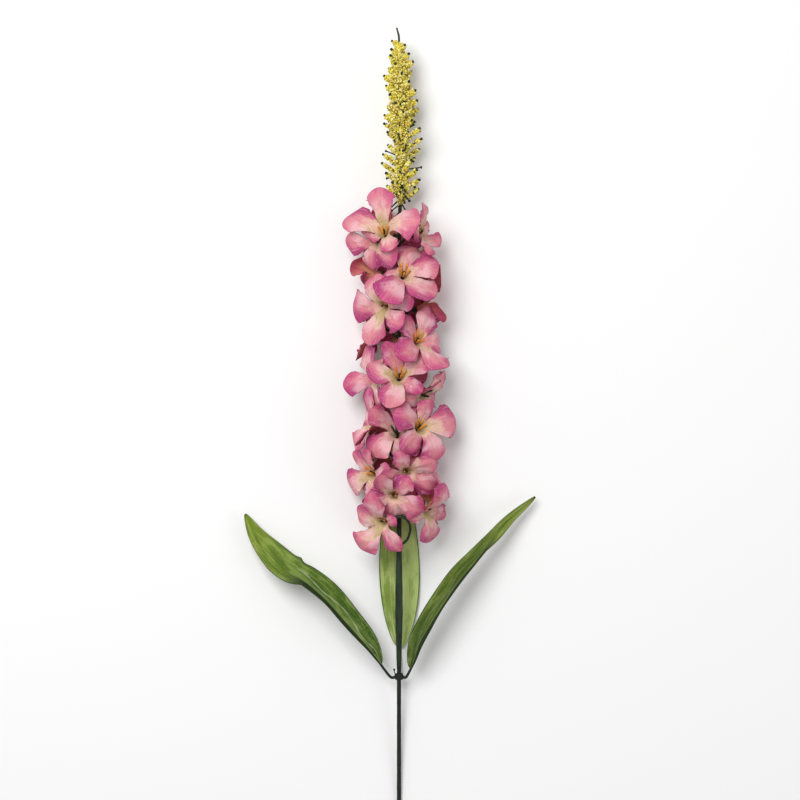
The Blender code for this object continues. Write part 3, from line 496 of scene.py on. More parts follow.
def corner_normals(points, triangles):
    """Normal at each point, the mean of the triangles that meet there."""
    a, b, c = (points[..., triangles[:, k], :] for k in range(3))
    flat = np.cross(b - a, c - a)
    normals = np.zeros_like(points)
    for k in range(3):
        np.add.at(normals, (..., triangles[:, k], slice(None)), flat)
    return unit(normals)


def sheet_faces(triangles, count):
    """Faces of a closed sheet: the triangles, the same ones count points on, and the cut edge.

    The cut edge runs where a triangle's side is no other triangle's side the other way round.
    """
    sides = np.concatenate([triangles[:, [0, 1]], triangles[:, [1, 2]], triangles[:, [2, 0]]])
    there = sides[:, 0] * count + sides[:, 1]
    back = sides[:, 1] * count + sides[:, 0]
    a, b = sides[~np.isin(there, back)].T
    return np.concatenate([triangles, triangles[:, ::-1] + count,
                           np.stack([b, a, a + count], axis=1),
                           np.stack([b, a + count, b + count], axis=1)])


def thicken(points, triangles, half):
    """Points and faces of a sheet round a middle surface, half its thickness to each side."""
    normals = corner_normals(points, triangles)
    both = np.concatenate([points + half * normals, points - half * normals], axis=-2)
    return both, sheet_faces(triangles, points.shape[-2])


def cloth(points, triangles, half, **fields):
    """A sheet as a shell: its fields on both faces, and the field other is 1 on the second."""
    both, faces = thicken(points, triangles, half)
    shell = {"points": both, "faces": [faces]}
    for name, values in fields.items():
        shell[name] = np.tile(np.asarray(values, float).ravel(), 2)
    shell["other"] = np.repeat([0.0, 1.0], len(points))
    return shell


def leaf_points(leaf, along, across, fold_rise):
    """Middle surface of a blade: the spine's line, plus the reach to each side, folded up.

    The reach is the half width times a power of a sine that is widest below the middle.
    """
    step = leaf["blade"] + (1.0 - leaf["blade"]) * along
    shape = step.shape
    flat = step.ravel()
    middle = curve(leaf["spine"], flat)
    ahead = curve(leaf["spine"], np.clip(flat + NEARBY, 0.0, 1.0))
    behind = curve(leaf["spine"], np.clip(flat - NEARBY, 0.0, 1.0))
    tangent = unit(ahead - behind)
    side = unit(np.cross(tangent, np.array([0.0, 0.0, 1.0])))
    normal = np.cross(side, tangent)
    places = [fold[0] for fold in leaf["folds"]]
    left = np.interp(along.ravel(), places, [fold[1] for fold in leaf["folds"]])
    right = np.interp(along.ravel(), places, [fold[2] for fold in leaf["folds"]])
    reach = across.ravel() * LEAF_HALF_WIDTH * leaf["half_width"]
    outline = np.sin(np.pi * np.clip(along.ravel(), 0.0, 1.0) ** LEAF_LATE) ** LEAF_FULL
    reach = reach * (LEAF_TIP_SHARE + (1.0 - LEAF_TIP_SHARE) * outline)
    sharpness = rise(LEAF_FOLD_FOOT + fold_rise * np.abs(across.ravel()))
    fold = np.radians(np.where(reach < 0.0, left, right)) * sharpness
    stand = read_off(SPINE_PROFILE, flat) + CLEARANCE + LEAF_STAND
    aside = reach * np.cos(fold)
    lifted = np.abs(reach) * np.sin(fold) + stand
    points = middle + aside[:, None] * side + lifted[:, None] * normal
    return points.reshape(*shape, 3)


def pressed_leaf(leaf, seed):
    """A blade on a fine grid, with pressed ribs and a slow wave along its edges.

    Both are added along the surface's normal: the ribs are a cosine of the place across, and the
    wave is two sines of the place along, times the cube of the place across. A kink pushes the
    right edge outwards by two bell curves of the place along.
    """
    draw = np.random.default_rng(seed)
    steps = np.concatenate([np.linspace(0.0, 0.99, LEAF_FINE_ROWS), [1.0]])
    along, across = np.meshgrid(steps, edged(LEAF_EDGE, LEAF_FINE_COLUMNS), indexing="ij")
    formed = leaf_points(leaf, along, across, LEAF_FOLD_RISE)
    normal = unit(np.cross(np.gradient(formed, axis=1), np.gradient(formed, axis=0)))
    ribs = LEAF_RIB_DEPTH * np.cos(2.0 * np.pi * LEAF_RIBS * across) * rise((1.0 - np.abs(across)) * 6.0)
    ribs = ribs - LEAF_GROOVE[0] * np.exp(-(across / LEAF_GROOVE[1]) ** 2)
    phases = draw.uniform(0.0, 2.0 * np.pi, len(LEAF_WAVES))
    wave = sum(height * np.sin(rate * along + phase) * (across * side > 0)
               for (height, rate, side), phase in zip(LEAF_WAVES, phases))
    wave = wave * np.abs(across) ** 3 * rise(along * 5.0) * rise((1.0 - along) * 5.0)
    bulge = sum(height * np.exp(-((along - place) / reach) ** 2) for height, place, reach in LEAF_KINK)
    bulge = leaf.get("kink", 0.0) * bulge * np.maximum(across, 0.0) ** 2
    outward = unit(np.gradient(formed, axis=1))
    points = formed + (ribs + wave)[..., None] * normal + bulge[..., None] * outward
    rim = np.maximum(np.abs(across) == 1.0, along == 1.0)
    index = np.arange(along.size).reshape(along.shape)
    return cloth(points.reshape(-1, 3), lattice(index), LEAF_HALF_THICKNESS,
                 along=along, across=across, rim=rim)


def leaf_cloth(name, base, middle, tip, painted_sheen, painted_sheen_share, folded, opens, crease_highlight):
    """Green cloth: its colour from base to tip, a painted sheen highlight in bands along the ribs,
    painted shade in the grooves between the ribs, and a dark cut edge.

    The folded half, -1 for the left and 1 for the right, is painted dark as shade up to where it
    opens, with painted highlights beside and along its crease. On an unfolded leaf the right half
    is painted lighter as if lit.
    """
    finish = Finish(name, {"Specular IOR Level": 0.2, "Subsurface Weight": 0.08,
                           "Subsurface Scale": 0.002, "Subsurface Radius": (0.6, 1.0, 0.3)})
    along = finish.field("along")
    across = finish.field("across")
    other = finish.field("other")
    rim = finish.field("rim")
    fibres = finish.noise(finish.point(across * 70.0, along * 7.0, 0.0), 1.0, 3.0)
    broad = finish.noise(finish.point(across * 7.0, along * 4.0, 3.0), 1.0, 2.0)
    mottle = finish.noise(finish.place(), 1.4, 2.0)
    ribs = (across * (2.0 * np.pi * LEAF_RIBS) + 1.57).sine()
    cross = finish.noise(finish.point(across * 7.0, along * 130.0, 5.0), 1.0, 2.0)
    # Painted sheen: light and dark bands that stand in for the shine of the cloth.
    painted_sheen_bands = finish.noise(finish.point(across * 2.6, along * 9.0, 9.0), 1.0, 3.0)
    coats = [(along.eased(0.05, 0.5), middle),
             ((along + broad * 0.2).eased(0.62, 1.1), tip)]
    if not folded:
        # Painted light: the right half of the unfolded back leaf is laid lighter, as if lit.
        coats.append((across.eased(0.0, 0.1) * 0.8, (198, 220, 134)))
    # Painted sheen highlight in broad bands; the same light colour also marks the cloth's own fibres and
    # cross weave.
    coats += [(broad.eased(0.45, 0.72) * painted_sheen_share, painted_sheen),
              (fibres.eased(0.48, 0.8) * 0.35, painted_sheen),
              (fibres.eased(0.5, 0.2) * 0.3, base),
              # Painted shade: the grooves between the pressed ribs are laid darker.
              (ribs.eased(0.1, -1.0) * 0.2, base),
              (mottle.eased(0.5, 0.8) * 0.2, tip),
              (cross.eased(0.5, 0.75) * 0.25, painted_sheen),
              (painted_sheen_bands.eased(0.52, 0.66) * 0.4, painted_sheen),
              (painted_sheen_bands.eased(0.48, 0.36) * 0.35, base),
              (other.eased(0.4, 0.6) * 0.35, (150, 168, 112))]
    if folded:
        side = across * folded
        shut = along.eased(opens, opens - 0.14)
        line = abs(side + 0.2 + broad * 0.26 + 0.1 * (along * 24.0).sine())
        # Painted highlights: a pale band on the open half beside the fold, and a thin whitish line along
        # the crease.
        coats += [(side.eased(-0.2, -0.07) * shut * 0.34, (180, 198, 132)),
                  (line.eased(0.05, 0.01) * shut * crease_highlight, (206, 216, 180)),
                  # Painted shade: the folded half is laid nearly black up to where the fold opens.
                  (side.eased(-0.05, 0.03) * shut * 0.92, (24, 40, 22))]
    coats.append((rim.eased(0.02, 0.7) * 0.85, (28, 44, 22)))
    finish.feed("Base Color", finish.layers(base, *coats))
    finish.feed("Roughness", 0.44 + 0.3 * fibres)
    weave = finish.noise(finish.place(), 0.45, 1.0)
    finish.relief(ribs * 0.3 + fibres * 0.5 + weave * 0.3, 0.16)
    return finish


# For each leaf: base, middle and tip colours, the colour and share of the painted sheen, the folded half,
# where the fold opens, and the strength of the painted highlight along the crease.
LEAF_FINISHES = {
    "leaf_left": leaf_cloth("leaf_cloth_left", (38, 72, 18), (80, 108, 32), (124, 142, 36),
                            (170, 188, 104), 0.45, -1, 0.68, 0.55),
    "leaf_right": leaf_cloth("leaf_cloth_right", (64, 88, 34), (82, 104, 26), (132, 148, 62),
                             (170, 186, 104), 0.45, 1, 0.84, 0.15),
    "leaf_back": leaf_cloth("leaf_cloth_back", (108, 134, 50), (130, 154, 62), (146, 166, 74),
                            (196, 210, 138), 0.85, 0, 0.0, 0.0),
}
for _seed, (_name, _leaf) in enumerate(LEAVES.items()):
    blade = new_piece(_name + "_blade", pressed_leaf(_leaf, _seed), LEAF_FINISHES[_name])
    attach(blade, "root")
    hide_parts(_name)

# Flower spike: one moulding in dark green plastic, pushed over the wire. Its axis carries a side peg
# for every floret. A peg swells into a five-lobed calyx, passes through the corolla's hole as a pin
# and ends in a pistil and five stamens, dipped in orange dye on most florets.
STEM_SIDES = 8
SPIKE_RADII = ((151.5, 2.3), (170.0, 2.6), (180.0, 3.0), (204.0, 3.75), (230.0, 3.5),
               (265.0, 2.7), (300.0, 2.3), (420.0, 2.1), (585.0, 1.8), (660.0, 1.5),
               (740.0, 1.1), (757.0, 1.0), (762.0, 0.7))
STEM_LENGTH = 762.0
PEG_RADIUS = 1.25
PEG_SIDES = 5
PEG_ROWS = 3
PEG_ROOT_BELOW = 9.0
LONG_PEG_ROOT_BELOW = 26.0
PEG_FIRST_PULL = 5.0
PEG_TIPWARD_PULL = 3.0
PEG_LAST_PULL = 7.5
PEG_END_BEHIND = 2.6
CALYX_RADIUS = 3.3
CALYX_BEHIND = 0.75
PIN_START = -0.6
PIN_RADIUS = 0.8
PIN_LENGTH = 2.8
STAMEN_LENGTH = 9.0
STAMEN_SPREAD = np.radians(17.0)
STAMEN_START = 2.4
STAMEN_ASIDE = 0.42
STAMEN_PROFILE = ((0.0, 0.28), (0.88, 0.7), (1.0, 0.3))
STAMENS_IN_FRONT = 5
STAMENS_AT_SIDE = 3
FRONT_TURN = 75
SIDE_TURN = 120
PETALS = 5
SECTOR = np.radians(36.0)
SPIKE_ROWS = 150
SPIKE_SIDES = 24
SOCKET_ROWS = 40
PEG_FINE_ROWS = 22
LONG_PEG_ROWS = 7
PEG_FINE_SIDES = 12
PEG_SWELL = 0.25
PEG_SWELL_START = -1.5

# Axis: share of its radius at the foot, share and rate of its unevenness, and the knob on its end
SPIKE_FOOT = 0.93
SPIKE_WAVE = (0.03, 0.31)
KNOB_LENGTH = 3.0
KNOB_RINGS = (2.0, 1.2, 0.6, 0.2, 0.0)
KNOB_SHARES = (1.25, 1.25, 0.95, 0.35)

# Rings of the calyx: distance in front of the hole, radius, and share of the swelling into lobes
CALYX_FORM = ((-4.6, 1.2, 0.0), (-3.6, 1.45, 0.0), (-2.9, 2.0, 0.1), (-2.1, 2.75, 0.3), (-1.3, 3.1, 0.7),
              (-0.8, 3.2, 1.0), (-0.6, 3.05, 1.0), (-0.75, 2.2, 0.6), (-0.95, 1.1, 0.0), (-1.0, 0.2, 0.0))
CALYX_SIDES = 40
CALYX_LOBES = 0.17
CALYX_LIP = 0.35

# Pin: distances in front of the hole, and shares of its radius. Stamens and pistil: share of the
# length, and radius. How far stamens open and bend up: the reach, and the power of the share.
PIN_FORM = ((-1.2, 1.0), (0.4, 0.9), (1.8, 0.85), (2.6, 0.8), (PIN_LENGTH, 0.5))
STAMEN_FORM = ((0.0, 0.42), (0.25, 0.42), (0.5, 0.6), (0.68, 0.92), (0.84, 1.02), (0.95, 0.66), (1.0, 0.15))
STAMEN_ROWS = 14
STAMEN_SIDES = 9
STAMEN_OPENING = (2.2, 1.5)
STAMEN_RISE = (5.6, 1.4)
DYE_START = 0.1
DYE_REACH = 0.25
PISTIL_FORM = ((0.0, 0.6), (0.4, 0.6), (0.7, 1.1), (0.88, 1.2), (1.0, 0.3))
PISTIL_ROWS = 12
PISTIL_SIDES = 10
PISTIL_START = 2.2
PISTIL_LENGTH = 8.0
PISTIL_RISE = 3.0

# Florets, from the tip down. place: distance of the corolla's hole from the cut end. side: its angle
# round the stem, 0 towards the viewer and positive to the right. stand: its distance from the axis.
# turn and lift: where the floret faces, round the stem and towards the tip. roll: angle of its
# first petal, counterclockwise from the right. size: of its petals, 1 for the usual. flares: how far
# each petal opens, 90 is flat, or one number for all of them.


def bloom(place, side, stand, turn, lift, roll, size, flares, **more):
    """The numbers of a floret by their names."""
    if not isinstance(flares, tuple):
        flares = (flares,) * PETALS
    return dict(place=place, side=side, stand=stand, turn=turn, lift=lift, roll=roll, size=size,
                flares=flares, **more)


FLORETS = (
    bloom(561, -35, 21, -30, 42, 164, 1.15, (74, 112, 112, 84, 50),
          petals={0: dict(width=0.9), 1: dict(size=0.55, curl=0.0), 2: dict(size=0.6, curl=0.0),
                  3: dict(swing=-16.0, width=1.12), 4: dict(swing=6.0)}),
    bloom(559, -64, 22, -36, -16, 322, 0.84, 84,
          petals={0: dict(width=1.15), 1: dict(size=0.5), 2: dict(size=0.5)}),
    bloom(523, 10, 18, 12, 25, 229, 1.05, 88,
          petals={0: dict(width=1.12), 1: dict(swing=14.0, width=1.1), 2: dict(size=0.95),
                  3: dict(swing=-16.0), 4: dict(swing=-14.0, width=0.8, size=0.8, flare=106.0)}),
    bloom(461, 48, 18, 40, 18, 208, 1.0, (84, 88, 92, 68, 70),
          petals={0: dict(width=1.1), 1: dict(swing=16.0), 2: dict(curl=55.0)}),
    bloom(427, 0, 18, 5, 22, 250, 0.97, (84, 80, 82, 70, 84),
          petals={0: dict(width=0.88), 1: dict(size=0.7), 2: dict(width=1.1), 4: dict(swing=-18.0)}),
    bloom(498, -34, 18, -38, -18, 175, 1.0, 86,
          petals={0: dict(width=1.1), 1: dict(width=1.1), 3: dict(swing=-16.0)}),
    bloom(380, 50, 19, 40, 12, 8, 1.0, (86, 70, 86, 90, 95),
          petals={0: dict(size=1.08, curl=20.0), 1: dict(size=0.8), 2: dict(size=1.05, swing=10.0)}),
    bloom(372, -4, 18, -4, 38, 220, 0.95, (112, 112, 105, 60, 60), petals={2: dict(swing=-26.0)}),
    bloom(342, 18, 18, 15, -22, 262, 0.92, 84),
    bloom(319, -12, 20, -8, -18, 265, 0.85, 82),
    bloom(295, -31, 21, -42, -24, 300, 0.98, (80, 76, 76, 80, 82),
          peg=((8.0, 276.0, 35.0), (10.5, 288.0, 42.0), (4.5, 297.0, 47.0)),
          petals={0: dict(size=0.86), 1: dict(size=0.5), 4: dict(swing=-8.0, width=1.08)}),
    bloom(306, 62, 25, 50, -22, 283, 0.86, 84,
          petals={0: dict(swing=6.0, width=1.1), 1: dict(swing=-6.0), 4: dict(size=0.6)}),
    bloom(428, -55, 18, -58, 5, 125, 0.92, 82),
    bloom(565, 60, 16, 64, 5, 100, 0.82, 70),
    bloom(415, 66, 18, 62, -20, 270, 0.85, 80),
    bloom(385, -65, 18, -68, 10, 90, 0.92, 80),
    bloom(338, -72, 21, -48, 0, 345, 0.9, 80),
    bloom(346, 82, 18, 72, 5, 30, 0.98, 84),
    bloom(546, 95, 17, 95, 5, 90, 0.95, 84),
    bloom(528, -108, 17, -108, -8, 120, 0.9, 82),
    bloom(360, -98, 18, -95, 5, 60, 0.88, 75),
    bloom(310, -95, 18, -88, -10, 30, 0.85, 80),
    bloom(318, 102, 18, 100, 0, 60, 0.85, 80),
    bloom(475, -108, 17, -105, 0, 60, 0.9, 80),
    bloom(494, 105, 17, 105, 5, 30, 0.88, 80),
    bloom(564, -165, 16, -165, 15, 54, 0.85, 88),
    bloom(520, 170, 16, 170, 0, 90, 0.85, 88),
    bloom(474, 180, 16, 180, 0, 54, 0.85, 88),
    bloom(430, 178, 16, 178, 0, 90, 0.85, 88),
    bloom(386, -175, 16, -175, 0, 54, 0.85, 88),
    bloom(343, 178, 16, 178, -5, 90, 0.82, 88),
)

# Dye of the stamens from 0 to 1, and their length as a share, by the place of a floret in the list
DYED = (1.0, 1.25)
STAMEN_LOOKS = {**dict.fromkeys((7, 12, 14), (0.0, 1.25)),
                **dict.fromkeys((1, 5, 8, 9, 10, 11, 13), (0.5, 0.8))}


def floret_frame(floret):
    """Place of the corolla's hole, and its directions: to the right, up and outwards."""
    side = np.radians(floret["side"])
    turn = np.radians(floret["turn"])
    lift = np.radians(floret["lift"])
    hole = stem_point(floret["place"])
    hole = hole + floret["stand"] * np.array([np.sin(side), 0.0, np.cos(side)])
    facing = np.array([np.cos(lift) * np.sin(turn), np.sin(lift), np.cos(lift) * np.cos(turn)])
    up = unit(np.array([0.0, 1.0, 0.0]) - facing[1] * facing)
    return hole, np.cross(up, facing), up, facing


def peg_line(floret, place, rows):
    """Line of a peg, a cubic Bezier curve from inside the axis to the back of the calyx.

    The lowest floret's peg is long, and bends round it on a smooth line through given points.
    """
    hole, _, _, facing = place
    side = np.radians(floret["side"])
    radial = np.array([np.sin(side), 0.0, np.cos(side)])
    d = hole - PEG_END_BEHIND * facing
    if "peg" in floret:
        root = stem_point(floret["place"] - LONG_PEG_ROOT_BELOW)
        return curve([root, *floret["peg"], d], np.linspace(0.0, 1.0, rows ** 2))
    root = stem_point(floret["place"] - PEG_ROOT_BELOW)
    b = root + PEG_FIRST_PULL * radial + np.array([0.0, PEG_TIPWARD_PULL, 0.0])
    c = hole - PEG_LAST_PULL * facing
    t = np.linspace(0.0, 1.0, rows)[:, None]
    return (1 - t) ** 3 * root + 3 * (1 - t) ** 2 * t * b + 3 * (1 - t) * t ** 2 * c + t ** 3 * d


def stamens(floret, place):
    """Where each stamen of a floret starts, and the directions outwards and along it."""
    hole, right, up, facing = place
    turned = abs(floret["turn"])
    count = STAMENS_IN_FRONT if turned < FRONT_TURN else STAMENS_AT_SIDE if turned < SIDE_TURN else 0
    result = []
    for k in range(count):
        turn = np.radians(floret["roll"]) + SECTOR + 2.0 * np.pi * k / count
        outward = np.cos(turn) * right + np.sin(turn) * up
        direction = np.cos(STAMEN_SPREAD) * facing + np.sin(STAMEN_SPREAD) * outward
        result.append((hole + STAMEN_START * facing + STAMEN_ASIDE * outward, outward, direction))
    return result


def calyx(place):
    """A five-lobed cup behind the corolla: rings whose radius swells five times round."""
    hole, right, up, facing = place
    offsets, radii, lobes = np.transpose(CALYX_FORM)[..., None]
    angles = np.arange(CALYX_SIDES) * 2.0 * np.pi / CALYX_SIDES
    swell = 1.0 + CALYX_LOBES * lobes * np.cos(PETALS * angles)
    radius = (radii * swell)[..., None]
    forward = (offsets + CALYX_LIP * lobes * np.cos(PETALS * angles) - CALYX_LIP)[..., None]
    circle = np.cos(angles)[:, None] * right + np.sin(angles)[:, None] * up
    points = hole + forward * facing + radius * circle
    ends = np.arange(CALYX_SIDES)[None]
    rows = len(CALYX_FORM)
    return {"points": points.reshape(-1, 3), "dye": np.zeros(rows * CALYX_SIDES),
            "faces": [wrap(rows, CALYX_SIDES), ends[:, ::-1], ends + (rows - 1) * CALYX_SIDES]}


def spike_moulding(florets, places):
    """The axis with its socket, and for each floret its peg, calyx, pin, pistil and stamens."""
    stations = np.unique(np.concatenate([np.linspace(SPIKE_START, STEM_LENGTH - KNOB_LENGTH, SPIKE_ROWS),
                                         STEM_LENGTH - np.array(KNOB_RINGS)]))
    radii = read_off(SPIKE_RADII, stations) * (1.0 + SPIKE_WAVE[0] * np.sin(stations * SPIKE_WAVE[1]))
    radii[0] *= SPIKE_FOOT
    radii[-len(KNOB_SHARES):] *= KNOB_SHARES
    depth = stem_point(np.linspace(SPIKE_START, SPIKE_START + SOCKET_DEPTH, SOCKET_ROWS))
    shells = [tube(hoops(stem_point(stations), radii, SPIKE_SIDES),
                   hoops(depth, np.full(SOCKET_ROWS, BORE_RADIUS), SPIKE_SIDES), blind=True)]
    shells[0]["dye"] = np.zeros(len(shells[0]["points"]))
    pin_places, pin_shares = np.transpose(PIN_FORM)
    for number, (floret, place) in enumerate(zip(florets, places)):
        hole, _, up, facing = place
        line = peg_line(floret, place, LONG_PEG_ROWS if "peg" in floret else PEG_FINE_ROWS)
        swell = 1.0 + PEG_SWELL * rise(np.linspace(PEG_SWELL_START, 1.0, len(line)))
        shells.append(sweep(line, PEG_RADIUS * swell, PEG_FINE_SIDES, dye=0.0))
        shells.append(calyx(place))
        shells.append(sweep(hole + pin_places[:, None] * facing, PIN_RADIUS * pin_shares, PEG_FINE_SIDES,
                            dye=0.0))
        filaments = stamens(floret, place)
        dyed, share = STAMEN_LOOKS.get(number, DYED)
        for start, outward, direction in filaments:
            t = np.linspace(0.0, 1.0, STAMEN_ROWS)
            path = start + (STAMEN_LENGTH * share * t)[:, None] * direction
            path = path + (STAMEN_OPENING[0] * t ** STAMEN_OPENING[1])[:, None] * outward
            path = path + (STAMEN_RISE[0] * t ** STAMEN_RISE[1])[:, None] * up
            shells.append(sweep(path, read_off(STAMEN_FORM, t), STAMEN_SIDES,
                                dye=dyed * rise((t - DYE_START) / DYE_REACH)))
        if filaments:
            t = np.linspace(0.0, 1.0, PISTIL_ROWS)
            path = hole + (PISTIL_START + PISTIL_LENGTH * t)[:, None] * facing
            path = path + (PISTIL_RISE * t ** 2)[:, None] * up
            shells.append(sweep(path, read_off(PISTIL_FORM, t), PISTIL_SIDES, dye=0.0))
    return shells


# Bud tip: its place on the stem, the screw line that its sprigs stand on, and its radius along it
BUD_START = 594.0
BUD_END = 748.0
BUD_PITCH = 9.6
BUD_SLOPE = np.radians(33.0)
BUD_RADII = ((585.0, 15.5), (607.0, 16.8), (649.0, 16.2), (685.0, 13.2), (720.0, 11.3),
             (733.0, 8.0), (741.0, 5.0), (750.0, 3.4))
SPRIG_STEP = np.radians(111.0)
SPRIG_SEED = 11
SPRIG_STAND_OUT = (1.6, 4.2)

# Rings of a sprig: a distance from its root, shares of its length, and distances back from its end
SPRIG_ROOT = 0.2
SPRIG_SHARES = (0.25, 0.5, 0.7)
SPRIG_BACK = (3.3, 2.2, 1.3, 0.6, 0.2, 0.0)
SPRIG_RADII = (0.8, 0.75, 0.7, 0.68, 0.7, 1.0, 1.42, 1.38, 1.0, 0.4)
SPRIG_SWELL = (0.88, 1.08)
SPRIG_BEND = 0.5
SPRIG_SIDES = 8

# Second prongs of the low sprigs, which hang down at the foot of the bud tip
PRONGS_BELOW = 668.0
PRONG_TURN = (0.35, 0.75)
PRONG_DROP = (-0.25, 0.2)
PRONG_HANG = 1.3
PRONG_HANG_BELOW = 648.0
PRONG_HANG_REACH = 45.0
PRONG_LENGTH = (0.62, 0.9)
PRONG_START = 0.25


def sprig_lines():
    """Root, direction and length of the sprigs, on a screw line round the axis of the bud tip."""
    turns = (BUD_END - BUD_START) / BUD_PITCH
    angles = np.arange(int(turns * 2.0 * np.pi / SPRIG_STEP)) * SPRIG_STEP
    places = BUD_START + BUD_PITCH * angles / (2.0 * np.pi)
    stand_out = np.random.default_rng(SPRIG_SEED).uniform(*SPRIG_STAND_OUT, len(angles))
    outward = np.stack([np.sin(angles), np.zeros_like(angles), np.cos(angles)], axis=1)
    direction = np.cos(BUD_SLOPE) * outward + np.array([0.0, np.sin(BUD_SLOPE), 0.0])
    lengths = (read_off(BUD_RADII, places) + stand_out) / np.cos(BUD_SLOPE)
    return stem_point(places), direction, lengths


def sprigs():
    """Thin bent stalks with a bulb on the end, each with a short prong low on the bud tip."""
    draw = np.random.default_rng(SPRIG_SEED + 1)
    shells = []
    for root, direction, length in zip(*sprig_lines()):
        sideways = unit(np.cross(direction, [0.0, 1.0, 0.0]))
        reaches = [(direction, length, 0.0)]
        if root[1] < PRONGS_BELOW:
            turn = draw.choice([-1.0, 1.0]) * draw.uniform(*PRONG_TURN)
            hang = PRONG_HANG * rise((PRONG_HANG_BELOW - root[1]) / PRONG_HANG_REACH)
            drop = draw.uniform(*PRONG_DROP) + hang
            fork = unit(direction + turn * sideways - drop * np.array([0.0, 1.0, 0.0]))
            reaches.append((fork, length * draw.uniform(*PRONG_LENGTH), PRONG_START))
        for way, reach, start in reaches:
            t = np.concatenate([[SPRIG_ROOT / reach], SPRIG_SHARES, 1.0 - np.array(SPRIG_BACK) / reach])
            t = start + (1.0 - start) * t
            bend = draw.uniform(-SPRIG_BEND, SPRIG_BEND) * np.sin(np.pi * t)
            path = root + (reach * t)[:, None] * way + bend[:, None] * sideways
            radii = np.array(SPRIG_RADII) * draw.uniform(*SPRIG_SWELL)
            shells.append(sweep(path, radii, SPRIG_SIDES, dye=0.0))
    return shells


places = [floret_frame(floret) for floret in FLORETS]
spike_plastic = green_plastic("spike_plastic", (17, 32, 17), (34, 52, 31), (64, 82, 56))
_dye = spike_plastic.field("dye")
_run = spike_plastic.noise(spike_plastic.place(), 1.6)
_orange = spike_plastic.layers((196, 112, 34), (_run.eased(0.35, 0.7), (238, 172, 62)))
_green = Value(spike_plastic, spike_plastic.shader.inputs["Base Color"].links[0].from_socket)
spike_plastic.feed("Base Color", spike_plastic.layers(
    _green, (_dye.eased(0.05, 0.4), (186, 136, 92)), (_dye.eased(0.55, 0.9), _orange)))
spike = new_piece("spike", gather(spike_moulding(FLORETS, places) + sprigs()), spike_plastic)
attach(spike, "root")
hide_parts("flower_spike")

# Bud crumbs: the tip was dipped in glue and rolled in crumbs of yellow foam. They sit in a tapering
# sheath round every sprig and pile up between them, thickly towards the tip, thinly lower down.
CRUMB_SEED = 5
SHEATH_CRUMBS = 190
FILL_CRUMBS = 3300
CRUMB_SIZES = (0.6, 1.55)
CRUMB_SIDES = 6
CRUMB_RIDGE = 0.25
CRUMB_HEIGHT = 0.85
CRUMB_UNEVEN = (0.68, 1.3)

# Sheaths: where on a sprig crumbs start, and how they crowd to its end, which stays bare; their
# radius at the end and more at the root; less of it low down and near the top of the bud tip; how
# many of them stay low down and on the shortest sprigs
SHEATH_START = 0.08
SHEATH_CROWD = 0.8
SHEATH_BARE = 2.6
SHEATH_RADIUS = 2.1
SHEATH_FLARE = 2.6
SHEATH_INNER = 0.45
SHEATH_LOW = 0.7
SHEATH_TOP_LESS = 0.45
SHEATH_TOP = 722.0
SHEATH_TOP_REACH = 26.0
KEPT_LOW = 0.52
KEPT_SHORT = 0.35
KEPT_LENGTH = 12.0

# Fill: its ends, how it crowds up the tip, its gap to the axis, the share of the tip's radius that
# it reaches low down and above, and how it crowds outwards
FILL_START = 6.0
FILL_SPAN = 7.0
FILL_CROWD = 0.72
FILL_GAP = 0.6
FILL_REACH = (0.38, 0.84)
FILL_INNER = 0.2
FILL_OUTWARD = 0.6


def crumbs(centres, draw):
    """Lumps at the centres: a point on each side of a ring of six, pushed in and out, and turned.

    Each is a unit lump times its size, turned by a random rotation from four drawn numbers.
    """
    count = len(centres)
    angles = np.arange(CRUMB_SIDES) * 2.0 * np.pi / CRUMB_SIDES
    ring = np.stack([np.cos(angles), np.sin(angles), CRUMB_RIDGE * (-1.0) ** np.arange(CRUMB_SIDES)],
                    axis=1)
    lump = np.vstack([ring, [0.0, 0.0, CRUMB_HEIGHT], [0.0, 0.0, -CRUMB_HEIGHT]])
    size = draw.uniform(*CRUMB_SIZES, (count, 1, 1))
    local = lump * size * draw.uniform(*CRUMB_UNEVEN, (count, len(lump), 1))
    w, x, y, z = unit(draw.normal(size=(count, 4))).T
    turn = np.array([[1 - 2 * (y * y + z * z), 2 * (x * y - w * z), 2 * (x * z + w * y)],
                     [2 * (x * y + w * z), 1 - 2 * (x * x + z * z), 2 * (y * z - w * x)],
                     [2 * (x * z - w * y), 2 * (y * z + w * x), 1 - 2 * (x * x + y * y)]])
    points = centres[:, None] + np.einsum("ijn,nkj->nki", turn, local)
    near = np.arange(CRUMB_SIDES)
    left = np.roll(near, -1)
    above = np.stack([near, left, np.full(CRUMB_SIDES, CRUMB_SIDES)], axis=1)
    below = np.stack([left, near, np.full(CRUMB_SIDES, CRUMB_SIDES + 1)], axis=1)
    faces = np.concatenate([above, below])[None] + (np.arange(count) * len(lump))[:, None, None]
    return {"points": points.reshape(-1, 3), "faces": [faces.reshape(-1, 3)],
            "tint": np.repeat(draw.uniform(0.0, 1.0, count), len(lump))}


